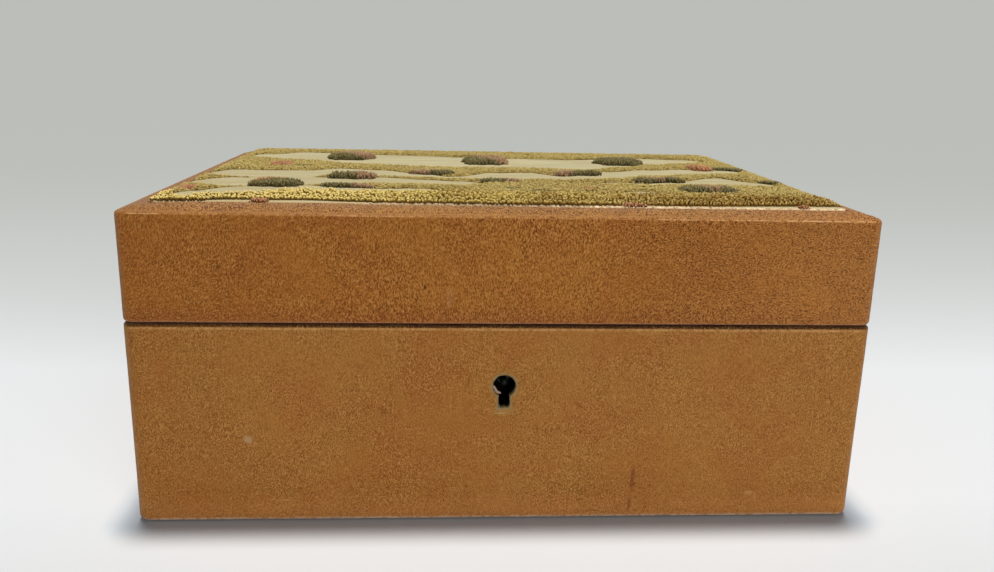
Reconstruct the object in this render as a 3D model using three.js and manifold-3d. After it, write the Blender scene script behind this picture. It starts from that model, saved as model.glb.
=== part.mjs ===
import * as THREE from 'three';
import { mergeVertices } from 'three/addons/utils/BufferGeometryUtils.js';
import Module from 'manifold-3d';

// A leather covered jewelry box with a textile lid panel. Millimetres, +Z up, +X to the right,
// front towards -Y. The origin is the middle of the resting face.

const wasm = await Module();
wasm.setup();

// Overall sizes
const outerWidth = 200;
const outerDepth = 150;
const baseHeight = 56.9;
const seamGap = 0.4;
const lidSideHeight = 28.9;
const borderWidth = 7;
const borderRise = 1.5;

// Leather cover
const leatherThickness = 1.2;
const cornerRadius = 3.5;
const bottomEdgeRadius = 3;
const rimRadius = 0.9;
const creaseRadius = 1.2;
const turnThickness = 0.8;
const turnDepth = 5;
const turnUnder = 14;
const feltProud = 0.3;

// Wooden carcass
const wallThickness = 8;
const bottomBoardThickness = 6;
const lidBoardThickness = 6;

// Fits between pieces
const fitGap = 0.3;
const glueLine = 0.05;
const leastRadius = 0.2;
const overrun = 2;

// Textile panel of the lid
const groundRise = 0.5;
const pileRise = 1.2;
const paleRise = 0.5;
const pileMargin = 0.7;
const pileEdge = 0.6;
const textileCornerRadius = 2.5;
const frontRowDepth = 16;
const frontRowRise = 0.6;
const tuftLength = 17;
const tuftDepth = 13;
const tuftRise = 2.4;
const swagSlope = 0.8;
// Pale swags between the pile: the place across, the middle and the half breadth of each station
const swagStationShares = [
  [[0.01, 0.81, 0.004], [0.05, 0.81, 0.05], [0.12, 0.82, 0.11], [0.28, 0.76, 0.13], [0.44, 0.72, 0.135],
    [0.59, 0.715, 0.12], [0.66, 0.7, 0.13], [0.75, 0.745, 0.11], [0.83, 0.8, 0.085], [0.92, 0.82, 0.05],
    [0.97, 0.82, 0.004]],
  [[-0.01, 0.43, 0.015], [0.04, 0.425, 0.066], [0.17, 0.42, 0.07], [0.23, 0.475, 0.066], [0.3, 0.455, 0.06],
    [0.37, 0.42, 0.04], [0.43, 0.385, 0.025], [0.5, 0.43, 0.068], [0.565, 0.435, 0.066], [0.63, 0.405, 0.04],
    [0.71, 0.478, 0.07], [0.79, 0.53, 0.068], [0.87, 0.56, 0.06], [0.94, 0.575, 0.045], [1.01, 0.58, 0.01]],
  [[-0.01, 0.27, 0.02], [0.06, 0.27, 0.073], [0.12, 0.27, 0.076], [0.24, 0.305, 0.06], [0.31, 0.32, 0.06],
    [0.37, 0.31, 0.042], [0.43, 0.29, 0.04], [0.5, 0.29, 0.01], [0.72, 0.31, 0.015], [0.82, 0.35, 0.037],
    [0.9, 0.38, 0.074], [0.95, 0.33, 0.037], [1.01, 0.315, 0.01]],
  [[-0.01, 0.08, 0.01], [0.04, 0.08, 0.048], [0.09, 0.125, 0.066], [0.19, 0.165, 0.053], [0.26, 0.15, 0.05],
    [0.37, 0.15, 0.048], [0.43, 0.14, 0.02], [0.47, 0.14, 0.004]],
  [[0.64, 0.15, 0.004], [0.68, 0.15, 0.018], [0.73, 0.155, 0.044], [0.78, 0.155, 0.01]],
];
// Tufts: the place across and along, then the length, depth and rise as shares of a full tuft
const tuftShares = [
  [0.22, 0.77, 1, 1.1, 1], [0.49, 0.71, 0.95, 1.6, 0.95], [0.76, 0.73, 1.05, 1.3, 0.95],
  [0.15, 0.22, 0.9, 0.75, 0.8], [0.25, 0.345, 0.88, 0.7, 0.9], [0.39, 0.45, 0.88, 0.5, 0.8],
  [0.65, 0.47, 1, 0.65, 0.8], [0.5, 0.31, 0.75, 0.5, 0.75], [0.78, 0.36, 1, 0.6, 0.8],
  [0.83, 0.2, 1.1, 0.85, 0.9], [0.91, 0.63, 0.45, 1.1, 0.75],
];
// A tuft's outline at a few heights, both as shares of its full size
const tuftRingShares = [[0, 1], [0.55, 0.96], [0.85, 0.78], [1, 0.45]];

// Inside lining, pads and dividers
const liningThickness = 1.55;
const padThickness = 2.6;
const padCrown = 1.2;
const padCornerRadius = 4;
const padDrawIn = 0.5;
const lidPadThickness = 3.4;
const lidPadCrown = 1.8;
const dividerThickness = 3;
const dividerDrop = 10;
const crossDividerDrop = 13;
const ringSectionWidth = 58;
const frontCompartmentDepth = 78;
const ringTopDrop = 10.5;
const ringRollHeight = 15.5;
const ringRollEnd = 5;
const ringRollCount = 4;

// Hinges
const lidOpening = THREE.MathUtils.degToRad(100);
const hingeInset = 2.6;
const hingeSpacing = 110;
const leafLength = 22;
const leafWidth = 6.5;
const leafThickness = 1.2;
const knuckleRadius = 1.6;
const knuckleCount = 5;
const knuckleSideGap = 0.15;
const pinRadius = 0.75;
const pinClearance = 0.08;
const pinHeadRadius = 1.15;
const pinHeadLength = 0.5;

// Screws
const screwHeadRadius = 1.5;
const screwHeadDepth = 0.9;
const screwShankRadius = 0.7;
const screwLength = 7;
const screwSlotWidth = 0.5;
const screwSlotDepth = 0.4;
const screwClearance = 0.12;
const pilotClearance = 0.25;

// Box lock
const keyholeDrop = 16.9;
const keyholeRadius = 3.1;
const keySlotWidth = 2.95;
const keySlotDrop = 6.1;
const keySlotCorner = 0.6;
const drillPinRadius = 1;
const drillPinRecess = 2.2;
const drillPinFlange = 1.9;
const drillPinFlangeDepth = 0.6;
const lockPlateThickness = 1.2;
const lockPlateLength = 42;
const lockPlateHeight = 27;
const selvedgeWidth = 7;
const caseWidth = 28;
const caseWall = 0.8;
const caseWeb = 1.4;
const caseFoot = 1.6;
const lockScrewInset = 3.5;

// Sliding bolt and the link plate that it holds
const boltTravel = 3;
const boltReach = 3.8;
const boltBarHeight = 4;
const boltBarTail = 0.7;
const boltPostWidth = 1.6;
const prongThickness = 1.4;
const prongHeight = 2;
const prongShort = 0.8;
const talonWidth = 3.2;
const talonDepth = 2;
const ledgeHeight = 1.5;
const ledgeInset = 6.2;
const linkPlateLength = 30;
const linkScrewInset = 3.2;
const lugSpacing = 14;
const lugThickness = 1.6;
const lugWidth = 3.2;
const lugLength = 7.5;
const lugHoleDrop = 5.1;
const lugHoleHeight = 2.6;
const lugHoleWidth = 2;
const lugClearance = 0.4;

// Steps of round stretches
const cornerSteps = 5;
const edgeSteps = 4;
const roundSides = 16;
const screwSides = 12;
const rollSides = 12;
const crownSteps = 4;
const padSides = 36;
const swagSteps = 2;
const tuftSides = 12;
const mergeTolerance = 1e-4;

// Places that follow from the sizes
const lidRim = baseHeight + seamGap;
const crease = lidRim + lidSideHeight;
const hingeZ = baseHeight + seamGap / 2;
const hingeY = outerDepth / 2 - hingeInset;
const wallOuter = leatherThickness + fitGap;
const wallInner = wallOuter + wallThickness;
const turnInner = wallInner + fitGap + turnThickness;
const liningInner = wallInner + glueLine + liningThickness;
const boardBottom = feltProud + leatherThickness + fitGap;
const boardTop = boardBottom + bottomBoardThickness;
const floor = boardTop + glueLine;
const wallTop = baseHeight - wallOuter;
const borderSlope = Math.atan2(borderRise, borderWidth);
const borderTop = crease + borderRise;
const plateau = borderTop - wallOuter / Math.cos(borderSlope);
const lidBoardBottom = plateau - lidBoardThickness;
const lidWallBottom = lidRim + wallOuter;
const lidCeiling = lidBoardBottom - glueLine;
const bevelAngle = lidOpening / 2;
const barrelLength = leafLength + (knuckleSideGap + pinHeadLength) * 2;

const ringBedTop = baseHeight - ringTopDrop - ringRollHeight - glueLine;
const keyholeHeight = baseHeight - keyholeDrop;
const plateInner = wallInner;
const plateOuter = plateInner - lockPlateThickness;
const selvedgeTop = baseHeight;
const selvedgeBottom = selvedgeTop - lockPlateThickness;
const caseOuter = wallOuter + caseWeb + fitGap;
const lockLine = (caseOuter + caseWall + plateOuter) / 2;
const caseBottom = keyholeHeight - keySlotDrop - caseFoot;
const boltBarBottom = keyholeHeight + boltReach;

// Finishes
const finish = (color, roughness, metalness) =>
  new THREE.MeshStandardMaterial({ color, roughness, metalness });
const leather = finish(0x9a6530, 0.55, 0);
const wood = finish(0xb58c5a, 0.7, 0);
const felt = finish(0x4b3a2c, 0.95, 0);
const velvet = finish(0x5f6135, 0.9, 0);
const satin = finish(0xd9c7a0, 0.6, 0);
const moquette = finish(0xb39a55, 0.95, 0);
const brass = finish(0xb08d4a, 0.35, 1);
const steel = finish(0x77756f, 0.4, 1);

const model = new THREE.Group();
const base = new THREE.Group();
const lid = new THREE.Group();
model.add(base, lid);

function addPiece(parent, name, geometry, material) {
  const mesh = new THREE.Mesh(geometry, material);
  mesh.name = name;
  parent.add(mesh);
  return mesh;
}

// Closed bodies and their cuts

function solid(geometry) {
  const bare = geometry.clone();
  bare.deleteAttribute('normal');
  bare.deleteAttribute('uv');
  const merged = mergeVertices(bare, mergeTolerance);
  return new wasm.Manifold(new wasm.Mesh({
    numProp: 3,
    vertProperties: new Float32Array(merged.attributes.position.array),
    triVerts: new Uint32Array(merged.index.array),
  }));
}

function toGeometry(body) {
  const mesh = body.getMesh();
  const geometry = new THREE.BufferGeometry();
  geometry.setAttribute('position', new THREE.BufferAttribute(mesh.vertProperties, 3));
  geometry.setIndex(new THREE.BufferAttribute(mesh.triVerts, 1));
  geometry.computeVertexNormals();
  return geometry;
}

function cut(body, ...tools) {
  return tools.reduce((left, tool) => left.subtract(tool), body);
}

function join(body, ...others) {
  return others.reduce((sum, other) => sum.add(other), body);
}

function block([fromX, toX], [fromY, toY], [fromZ, toZ]) {
  const geometry = new THREE.BoxGeometry(toX - fromX, toY - fromY, toZ - fromZ);
  return geometry.translate((fromX + toX) / 2, (fromY + toY) / 2, (fromZ + toZ) / 2);
}

function cutter(x, y, z) {
  return solid(block(x, y, z));
}

// A shape drawn in X and Y, raised along Z
function upright(shape, fromZ, toZ, curveSegments = cornerSteps) {
  const options = { depth: toZ - fromZ, bevelEnabled: false, curveSegments };
  return new THREE.ExtrudeGeometry(shape, options).translate(0, 0, fromZ);
}

// A shape drawn in Y and Z, run along X
function alongX(shape, fromX, toX) {
  const turn = new THREE.Matrix4().makeBasis(
    new THREE.Vector3(0, 1, 0), new THREE.Vector3(0, 0, 1), new THREE.Vector3(1, 0, 0));
  const options = { depth: toX - fromX, bevelEnabled: false };
  return new THREE.ExtrudeGeometry(shape, options).applyMatrix4(turn).translate(fromX, 0, 0);
}

// A shape drawn in X and Z, run along Y
function alongY(shape, fromY, toY, curveSegments = edgeSteps) {
  const turn = new THREE.Matrix4().makeBasis(
    new THREE.Vector3(1, 0, 0), new THREE.Vector3(0, 0, 1), new THREE.Vector3(0, -1, 0));
  const options = { depth: toY - fromY, bevelEnabled: false, curveSegments };
  return new THREE.ExtrudeGeometry(shape, options).applyMatrix4(turn).translate(0, toY, 0);
}

function rodAlongX(radius, length, sides = roundSides) {
  return new THREE.CylinderGeometry(radius, radius, length, sides).rotateZ(Math.PI / 2);
}

function outline(points) {
  return new THREE.Shape(points.map(([x, y]) => new THREE.Vector2(x, y)));
}

// A rectangle about the origin whose corners are quarter circles
function roundedRectangle(halfX, halfY, radius) {
  const r = Math.max(radius, leastRadius);
  const shape = new THREE.Shape();
  shape.absarc(halfX - r, halfY - r, r, 0, Math.PI / 2);
  shape.absarc(r - halfX, halfY - r, r, Math.PI / 2, Math.PI);
  shape.absarc(r - halfX, r - halfY, r, Math.PI, Math.PI * 3 / 2);
  shape.absarc(halfX - r, r - halfY, r, Math.PI * 3 / 2, Math.PI * 2);
  return shape;
}

function boxOutline(inset) {
  return roundedRectangle(outerWidth / 2 - inset, outerDepth / 2 - inset, cornerRadius - inset);
}

// Triangles over a flat ring, seen along the axis that it faces most
function capTriangles(ring) {
  const normal = new THREE.Vector3();
  ring.forEach((point, k) => {
    const next = ring[(k + 1) % ring.length];
    normal.add(new THREE.Vector3().crossVectors(point, next));
  });
  const [x, y, z] = normal.toArray().map(Math.abs);
  const drop = z >= x && z >= y ? 'z' : (x >= y ? 'x' : 'y');
  const [u, v] = { x: ['y', 'z'], y: ['z', 'x'], z: ['x', 'y'] }[drop];
  const flat = ring.map((point) => new THREE.Vector2(point[u], point[v]));
  const forward = normal[drop] > 0;
  return THREE.ShapeUtils.triangulateShape(forward ? flat : flat.slice().reverse(), [])
    .map((triangle) => triangle.map((k) => (forward ? k : ring.length - 1 - k)))
    .map(([a, b, c]) => (forward ? [a, b, c] : [c, b, a]));
}

// Rings of equally many points, joined into one closed body
function loft(rings) {
  const count = rings[0].length;
  const positions = rings.flat().flatMap((point) => [point.x, point.y, point.z]);
  const index = [];
  for (let ring = 0; ring + 1 < rings.length; ring += 1) {
    for (let k = 0; k < count; k += 1) {
      const a = ring * count + k;
      const b = ring * count + (k + 1) % count;
      index.push(a, b, b + count, a, b + count, a + count);
    }
  }
  const last = (rings.length - 1) * count;
  capTriangles(rings[0]).forEach(([a, b, c]) => index.push(c, b, a));
  capTriangles(rings[rings.length - 1]).forEach(([a, b, c]) => {
    index.push(last + a, last + b, last + c);
  });
  const geometry = new THREE.BufferGeometry();
  geometry.setAttribute('position', new THREE.Float32BufferAttribute(positions, 3));
  geometry.setIndex(index);
  geometry.computeVertexNormals();
  return geometry;
}

function ringAt(shape, z) {
  const points = shape.getPoints(cornerSteps);
  if (points[0].distanceTo(points[points.length - 1]) < mergeTolerance) points.pop();
  return points.map((point) => new THREE.Vector3(point.x, point.y, z));
}

// A section of the box's side: each step has an inset from the outer face and a height
function arcSteps(inset, z, radius, fromAngle, toAngle) {
  const steps = radius > leastRadius ? edgeSteps : 1;
  return Array.from({ length: steps + 1 }, (_, step) => {
    const angle = fromAngle + (toAngle - fromAngle) * step / steps;
    return { inset: inset - radius * Math.cos(angle), z: z + radius * Math.sin(angle) };
  });
}

function loftSection(section) {
  return loft(section.map(({ inset, z }) => ringAt(boxOutline(inset), z)));
}

// The base block, a given depth inside its leather surface
function baseBlock(depth) {
  const foot = feltProud + depth;
  const rim = baseHeight - depth;
  const footRadius = Math.max(bottomEdgeRadius - depth, leastRadius);
  const topRadius = Math.max(rimRadius - depth, leastRadius);
  return [
    ...arcSteps(depth + footRadius, foot + footRadius, footRadius, -Math.PI / 2, 0),
    ...arcSteps(depth + topRadius, rim - topRadius, topRadius, 0, Math.PI / 2),
  ];
}

// The lid block, a given depth inside its leather surface, up to the sloping border's inner edge
function lidBlock(depth) {
  const rim = lidRim + depth;
  const lowRadius = Math.max(rimRadius - depth, leastRadius);
  const highRadius = Math.max(creaseRadius - depth, leastRadius);
  const slopeDrop = depth / Math.cos(borderSlope);
  const arcInset = depth + highRadius;
  const arcZ = crease - slopeDrop + arcInset * Math.tan(borderSlope)
    - highRadius / Math.cos(borderSlope);
  return [
    ...arcSteps(depth + lowRadius, rim + lowRadius, lowRadius, -Math.PI / 2, 0),
    ...arcSteps(arcInset, arcZ, highRadius, 0, Math.PI / 2 + borderSlope),
    { inset: borderWidth, z: borderTop - slopeDrop },
  ];
}

// What lies behind the sloping rear edge of the base (side -1) or of the lid (side 1)
function rearBevel(depth, side) {
  const along = new THREE.Vector2(Math.cos(bevelAngle), side * Math.sin(bevelAngle));
  const out = new THREE.Vector2(Math.sin(bevelAngle), -side * Math.cos(bevelAngle));
  const reach = hingeInset * knuckleCount;
  const foot = new THREE.Vector2(hingeY, hingeZ).addScaledVector(out, -(seamGap / 2 + depth));
  const corners = [
    foot.clone().addScaledVector(along, -reach),
    foot.clone().addScaledVector(along, reach),
    foot.clone().addScaledVector(along, reach).addScaledVector(out, reach),
    foot.clone().addScaledVector(along, -reach).addScaledVector(out, reach),
  ];
  if (side > 0) corners.reverse();
  const half = outerWidth / 2 + overrun;
  return solid(alongX(new THREE.Shape(corners), -half, half));
}

function hingePlaces() {
  return [-hingeSpacing / 2, hingeSpacing / 2];
}

function hingeScrewPlaces() {
  const along = leafLength / 2 - screwHeadRadius * 2;
  const across = -(knuckleRadius + fitGap + leafWidth) / 2;
  return [[-along, across], [along, across]];
}

// Room for the barrel between the two rims
function barrelGrooves() {
  return hingePlaces().map((x) => solid(
    rodAlongX(knuckleRadius + fitGap, barrelLength + fitGap * 2).translate(x, hingeY, hingeZ)));
}

// Room for the leaves of the base (side -1) or of the lid (side 1) in the rim leather
function leafRecesses(side) {
  const half = leafLength / 2 + fitGap;
  const depth = side * (seamGap / 2 + wallOuter);
  const heights = [hingeZ, hingeZ + depth].sort((a, b) => a - b);
  return hingePlaces().map((x) => cutter(
    [x - half, x + half], [hingeY - leafWidth - fitGap, hingeY], heights));
}

function pilotHole(x, y, rim, side) {
  const radius = screwShankRadius + pilotClearance;
  const depth = screwLength + fitGap + overrun;
  const hole = new THREE.CylinderGeometry(radius, radius, depth, screwSides).rotateX(Math.PI / 2);
  return solid(hole.translate(x, y, rim + side * (screwLength + fitGap - depth / 2)));
}

function hingePilotHoles(rim, side) {
  return hingePlaces().flatMap((x) => hingeScrewPlaces().map(
    ([along, across]) => pilotHole(x + along, hingeY + across, rim, side)));
}

// Wooden carcass

function longWallShape(sign) {
  const half = outerWidth / 2 - wallOuter;
  const outer = outerDepth / 2 - wallOuter;
  const inner = outerDepth / 2 - wallInner;
  const radius = Math.max(cornerRadius - wallOuter, leastRadius);
  const shape = new THREE.Shape();
  shape.moveTo(-half, sign * inner);
  shape.lineTo(half, sign * inner);
  shape.absarc(half - radius, sign * (outer - radius), radius, 0, sign * Math.PI / 2, sign < 0);
  shape.absarc(radius - half, sign * (outer - radius), radius, sign * Math.PI / 2, Math.PI * sign,
    sign < 0);
  shape.closePath();
  return shape;
}

function longWall(sign, fromZ, toZ) {
  return solid(upright(longWallShape(sign), fromZ, toZ));
}

function sideWall(sign, fromZ, toZ) {
  const x = [sign * (outerWidth / 2 - wallInner), sign * (outerWidth / 2 - wallOuter)];
  const reach = outerDepth / 2 - wallInner - glueLine;
  return block(x.sort((a, b) => a - b), [-reach, reach], [fromZ, toZ]);
}

function frontFace(inset) {
  return inset - outerDepth / 2;
}

function keyhole(grow) {
  const radius = keyholeRadius + grow;
  const halfSlot = keySlotWidth / 2 + grow;
  const foot = keyholeHeight - keySlotDrop - grow;
  const meet = Math.asin(halfSlot / radius);
  const shape = new THREE.Shape();
  shape.absarc(0, keyholeHeight, radius, meet - Math.PI / 2, Math.PI * 3 / 2 - meet);
  shape.lineTo(-halfSlot, foot + keySlotCorner);
  shape.lineTo(keySlotCorner - halfSlot, foot);
  shape.lineTo(halfSlot - keySlotCorner, foot);
  shape.lineTo(halfSlot, foot + keySlotCorner);
  shape.closePath();
  return shape;
}

function keyholeCut(grow, fromInset, toInset) {
  return solid(alongY(keyhole(grow), frontFace(fromInset), frontFace(toInset)));
}

function lockScrewPlaces() {
  const along = lockPlateLength / 2 - lockScrewInset;
  const across = frontFace(plateInner - (selvedgeWidth + lockPlateThickness) / 2);
  return [[-along, across], [along, across]];
}

function linkScrewPlaces() {
  const along = linkPlateLength / 2 - linkScrewInset;
  const across = frontFace(plateInner - (selvedgeWidth + lockPlateThickness) / 2);
  return [[-along, across], [along, across]];
}

function frontWall() {
  const caseHalf = caseWidth / 2 + fitGap;
  const plateHalf = lockPlateLength / 2 + fitGap;
  const plateFoot = selvedgeTop - lockPlateHeight - fitGap;
  const mortise = cutter([-caseHalf, caseHalf],
    [frontFace(caseOuter - fitGap), frontFace(wallInner + overrun)],
    [caseBottom - fitGap, wallTop + overrun]);
  const housing = cutter([-plateHalf, plateHalf],
    [frontFace(plateOuter - fitGap), frontFace(wallInner + overrun)],
    [plateFoot, wallTop + overrun]);
  const holes = lockScrewPlaces().map(([x, y]) => pilotHole(x, y, baseHeight, -1));
  return cut(longWall(-1, floor, wallTop), mortise, housing,
    keyholeCut(0, wallOuter - overrun, caseOuter), ...holes);
}

function backWall() {
  return cut(longWall(1, floor, wallTop), rearBevel(wallOuter, -1), ...barrelGrooves(),
    ...hingePilotHoles(baseHeight, -1));
}

function bottomBoard() {
  const radius = Math.max(bottomEdgeRadius - wallOuter, leastRadius);
  return loftSection([
    ...arcSteps(wallOuter + radius, boardBottom + radius, radius, -Math.PI / 2, 0),
    { inset: wallOuter, z: boardTop },
  ]);
}

function lidFrontWall() {
  const holes = linkScrewPlaces().map(([x, y]) => pilotHole(x, y, lidRim, 1));
  return cut(longWall(-1, lidWallBottom, lidCeiling), ...holes);
}

function lidBackWall() {
  return cut(longWall(1, lidWallBottom, lidCeiling), rearBevel(wallOuter, 1),
    ...barrelGrooves(), ...hingePilotHoles(lidRim, 1));
}

function lidTopBoard() {
  const section = lidBlock(wallOuter).filter(({ z }) => z > lidBoardBottom);
  return loftSection([{ inset: wallOuter, z: lidBoardBottom }, ...section]);
}

function carcass() {
  addPiece(base, 'bottom_board', bottomBoard(), wood);
  addPiece(base, 'front_wall', toGeometry(frontWall()), wood);
  addPiece(base, 'back_wall', toGeometry(backWall()), wood);
  addPiece(base, 'left_wall', sideWall(-1, floor, wallTop), wood);
  addPiece(base, 'right_wall', sideWall(1, floor, wallTop), wood);
  addPiece(lid, 'lid_front_wall', toGeometry(lidFrontWall()), wood);
  addPiece(lid, 'lid_back_wall', toGeometry(lidBackWall()), wood);
  addPiece(lid, 'lid_left_wall', sideWall(-1, lidWallBottom, lidCeiling), wood);
  addPiece(lid, 'lid_right_wall', sideWall(1, lidWallBottom, lidCeiling), wood);
  addPiece(lid, 'lid_top_board', lidTopBoard(), wood);
}

// Leather skins, turned over the rims and down inside

function insetPrism(inset, fromZ, toZ) {
  return solid(upright(boxOutline(inset), fromZ, toZ));
}

function turnIn(rim, side) {
  const heights = [rim + side * leatherThickness / 2, rim + side * turnDepth];
  const [low, high] = heights.sort((a, b) => a - b);
  return cut(insetPrism(turnInner - turnThickness, low, high),
    insetPrism(turnInner, low - overrun, high + overrun));
}

function baseLeather() {
  const outer = cut(solid(loftSection(baseBlock(0))), rearBevel(0, -1));
  const inner = cut(solid(loftSection(baseBlock(leatherThickness))),
    rearBevel(leatherThickness, -1));
  const shell = join(cut(outer, inner), turnIn(baseHeight, -1));
  const mouth = insetPrism(turnInner, baseHeight - leatherThickness - overrun,
    baseHeight + overrun);
  const underside = insetPrism(turnUnder, -overrun, feltProud + leatherThickness + overrun);
  const selvedge = lockPlateLength / 2 + fitGap;
  const lockCut = cutter([-selvedge, selvedge],
    [frontFace(plateInner - selvedgeWidth - fitGap), frontFace(plateInner + fitGap)],
    [baseHeight - wallOuter, baseHeight + overrun]);
  return cut(shell, mouth, underside, lockCut, keyholeCut(0, -overrun, wallOuter),
    ...barrelGrooves(), ...leafRecesses(-1));
}

function lidLeather() {
  const outer = cut(solid(loftSection(lidBlock(0))), rearBevel(0, 1));
  const inner = cut(solid(loftSection(lidBlock(leatherThickness))),
    rearBevel(leatherThickness, 1));
  const shell = join(cut(outer, inner), turnIn(lidRim, 1));
  const mouth = insetPrism(turnInner, lidRim - overrun, lidRim + leatherThickness + overrun);
  const window = insetPrism(borderWidth, plateau - overrun, borderTop + overrun);
  const link = linkPlateLength / 2 + fitGap;
  const linkCut = cutter([-link, link],
    [frontFace(plateInner - selvedgeWidth - fitGap), frontFace(plateInner + fitGap)],
    [lidRim - overrun, lidRim + wallOuter]);
  return cut(shell, mouth, window, linkCut, ...barrelGrooves(), ...leafRecesses(1));
}

function leatherSkins() {
  addPiece(base, 'base_leather', toGeometry(baseLeather()), leather);
  addPiece(lid, 'lid_leather', toGeometry(lidLeather()), leather);
  const underFelt = upright(boxOutline(turnUnder + fitGap), 0, boardBottom - glueLine);
  addPiece(base, 'bottom_felt', underFelt, felt);
}

// Textile panel: a ground cloth under pile with pale swags sunk in it, a bolder front row and tufts

function swagRing(x, y, half, bottom) {
  const top = borderTop + groundRise + pileRise;
  const wide = half + swagSlope;
  const section = [[-half, bottom], [half, bottom], [wide, top], [wide, top + overrun],
    [-wide, top + overrun], [-wide, top]];
  return section.map(([away, z]) => new THREE.Vector3(x, y + away, z));
}

function swag(stations, width, depth) {
  const rings = [];
  stations.slice(1).forEach((to, index) => {
    const from = stations[index];
    for (let step = index ? 1 : 0; step <= swagSteps; step += 1) {
      const share = step / swagSteps;
      const ease = share * share * (3 - share * 2);
      const [across, along, half] = from.map((value, k) => value + (to[k] - value) * (k ? ease : share));
      rings.push(swagRing((across - 1 / 2) * width, (along - 1 / 2) * depth, half * depth,
        borderTop + groundRise + paleRise));
    }
  });
  return solid(loft(rings));
}

function tuft([across, along, lengthShare, depthShare, riseShare], width, depth) {
  const bottom = borderTop + groundRise / 2;
  const height = groundRise / 2 + tuftRise * riseShare;
  const rings = tuftRingShares.map(([heightShare, sizeShare]) => (
    Array.from({ length: tuftSides }, (_, side) => {
      const angle = (side + 1 / 2) / tuftSides * Math.PI * 2;
      const reach = sizeShare / (Math.cos(angle) ** 4 + Math.sin(angle) ** 4) ** (1 / 4) / 2;
      return new THREE.Vector3(
        (across - 1 / 2) * width + Math.cos(angle) * reach * tuftLength * lengthShare,
        (along - 1 / 2) * depth + Math.sin(angle) * reach * tuftDepth * depthShare,
        bottom + height * heightShare);
    })
  ));
  return solid(loft(rings));
}

function frontRow(width, depth) {
  const front = pileMargin - depth / 2;
  const bottom = borderTop + groundRise / 2;
  const top = borderTop + groundRise + pileRise + frontRowRise;
  const section = outline([[front, bottom], [front + frontRowDepth, bottom],
    [front + frontRowDepth, top - frontRowRise], [front + frontRowDepth - frontRowRise, top],
    [front + frontRowRise, top], [front, top - frontRowRise]]);
  return solid(alongX(section, pileMargin - width / 2, width / 2 - pileMargin));
}

function textilePanel() {
  const inset = borderWidth + fitGap;
  const width = outerWidth - inset * 2;
  const depth = outerDepth - inset * 2;
  const bottom = plateau + glueLine;
  const pileTop = borderTop + groundRise + pileRise;
  const outlineAt = (gap) => roundedRectangle(width / 2 - gap, depth / 2 - gap, textileCornerRadius - gap);
  const ground = solid(upright(outlineAt(0), bottom, borderTop + groundRise));
  const pile = solid(loft([ringAt(outlineAt(pileMargin), bottom + glueLine),
    ringAt(outlineAt(pileMargin), pileTop - pileEdge), ringAt(outlineAt(pileMargin + pileEdge), pileTop)]));
  const tufts = tuftShares.map((shares) => tuft(shares, width, depth));
  const swags = swagStationShares.map((stations) => swag(stations, width, depth));
  return join(ground, cut(join(pile, frontRow(width, depth)), ...swags), ...tufts);
}

// Soft pads: a crowned top and sides drawn in between the corners

function padRing(halfX, halfY, radius, drawIn, z) {
  const points = roundedRectangle(halfX, halfY, radius).getSpacedPoints(padSides);
  points.pop();
  return points.map(({ x, y }) => {
    const pullX = drawIn * Math.sign(x) * Math.max(0, 1 - (y / halfY) ** 2) * (x / halfX) ** 4;
    const pullY = drawIn * Math.sign(y) * Math.max(0, 1 - (x / halfX) ** 2) * (y / halfY) ** 4;
    return new THREE.Vector3(x - pullX, y - pullY, z);
  });
}

function cushion(halfX, halfY, thickness, crown) {
  const edge = thickness / 2;
  const rings = [padRing(halfX - edge / 2, halfY - edge / 2, padCornerRadius, padDrawIn, 0)];
  rings.push(padRing(halfX, halfY, padCornerRadius, padDrawIn, edge));
  const half = Math.min(halfX, halfY);
  for (let step = 0; step <= crownSteps; step += 1) {
    const share = step / (crownSteps + 1);
    const inset = edge / 2 + (half - edge) * share;
    const rise = 1 - (1 - share) ** 2;
    rings.push(padRing(halfX - inset, halfY - inset, padCornerRadius, padDrawIn * (1 - share),
      thickness + crown * rise));
  }
  return loft(rings);
}

function addCushion(parent, name, [fromX, toX], [fromY, toY], z, thickness, crown, material) {
  const geometry = cushion((toX - fromX) / 2, (toY - fromY) / 2, thickness, crown);
  const mesh = addPiece(parent, name, geometry, material);
  mesh.position.set((fromX + toX) / 2, (fromY + toY) / 2, z);
  return mesh;
}

// Linings of the base and of the lid

function liningSet(parent, prefix, fromZ, toZ) {
  const innerX = outerWidth / 2 - wallInner - glueLine;
  const innerY = outerDepth / 2 - wallInner - glueLine;
  const sideY = innerY - liningThickness - glueLine;
  for (const [name, sign] of [['front', -1], ['back', 1]]) {
    const y = [sign * (innerY - liningThickness), sign * innerY].sort((a, b) => a - b);
    const panel = block([-innerX, innerX], y, [fromZ, toZ]);
    addPiece(parent, `${prefix}${name}_lining`, panel, velvet);
  }
  for (const [name, sign] of [['left', -1], ['right', 1]]) {
    const x = [sign * (innerX - liningThickness), sign * innerX].sort((a, b) => a - b);
    addPiece(parent, `${prefix}${name}_lining`, block(x, [-sideY, sideY], [fromZ, toZ]), velvet);
  }
}

const insideX = outerWidth / 2 - liningInner;
const insideY = outerDepth / 2 - liningInner;
const dividerLeft = ringSectionWidth - insideX;
const dividerRight = dividerLeft + dividerThickness;
const crossFront = frontCompartmentDepth - insideY;
const crossBack = crossFront + dividerThickness;

// A divider's section is a slim upright with a rounded top edge
function dividerShape(height) {
  const half = dividerThickness / 2;
  const shape = new THREE.Shape();
  shape.moveTo(-half, 0);
  shape.lineTo(half, 0);
  shape.absarc(0, height - half, half, 0, Math.PI);
  shape.closePath();
  return shape;
}

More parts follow.
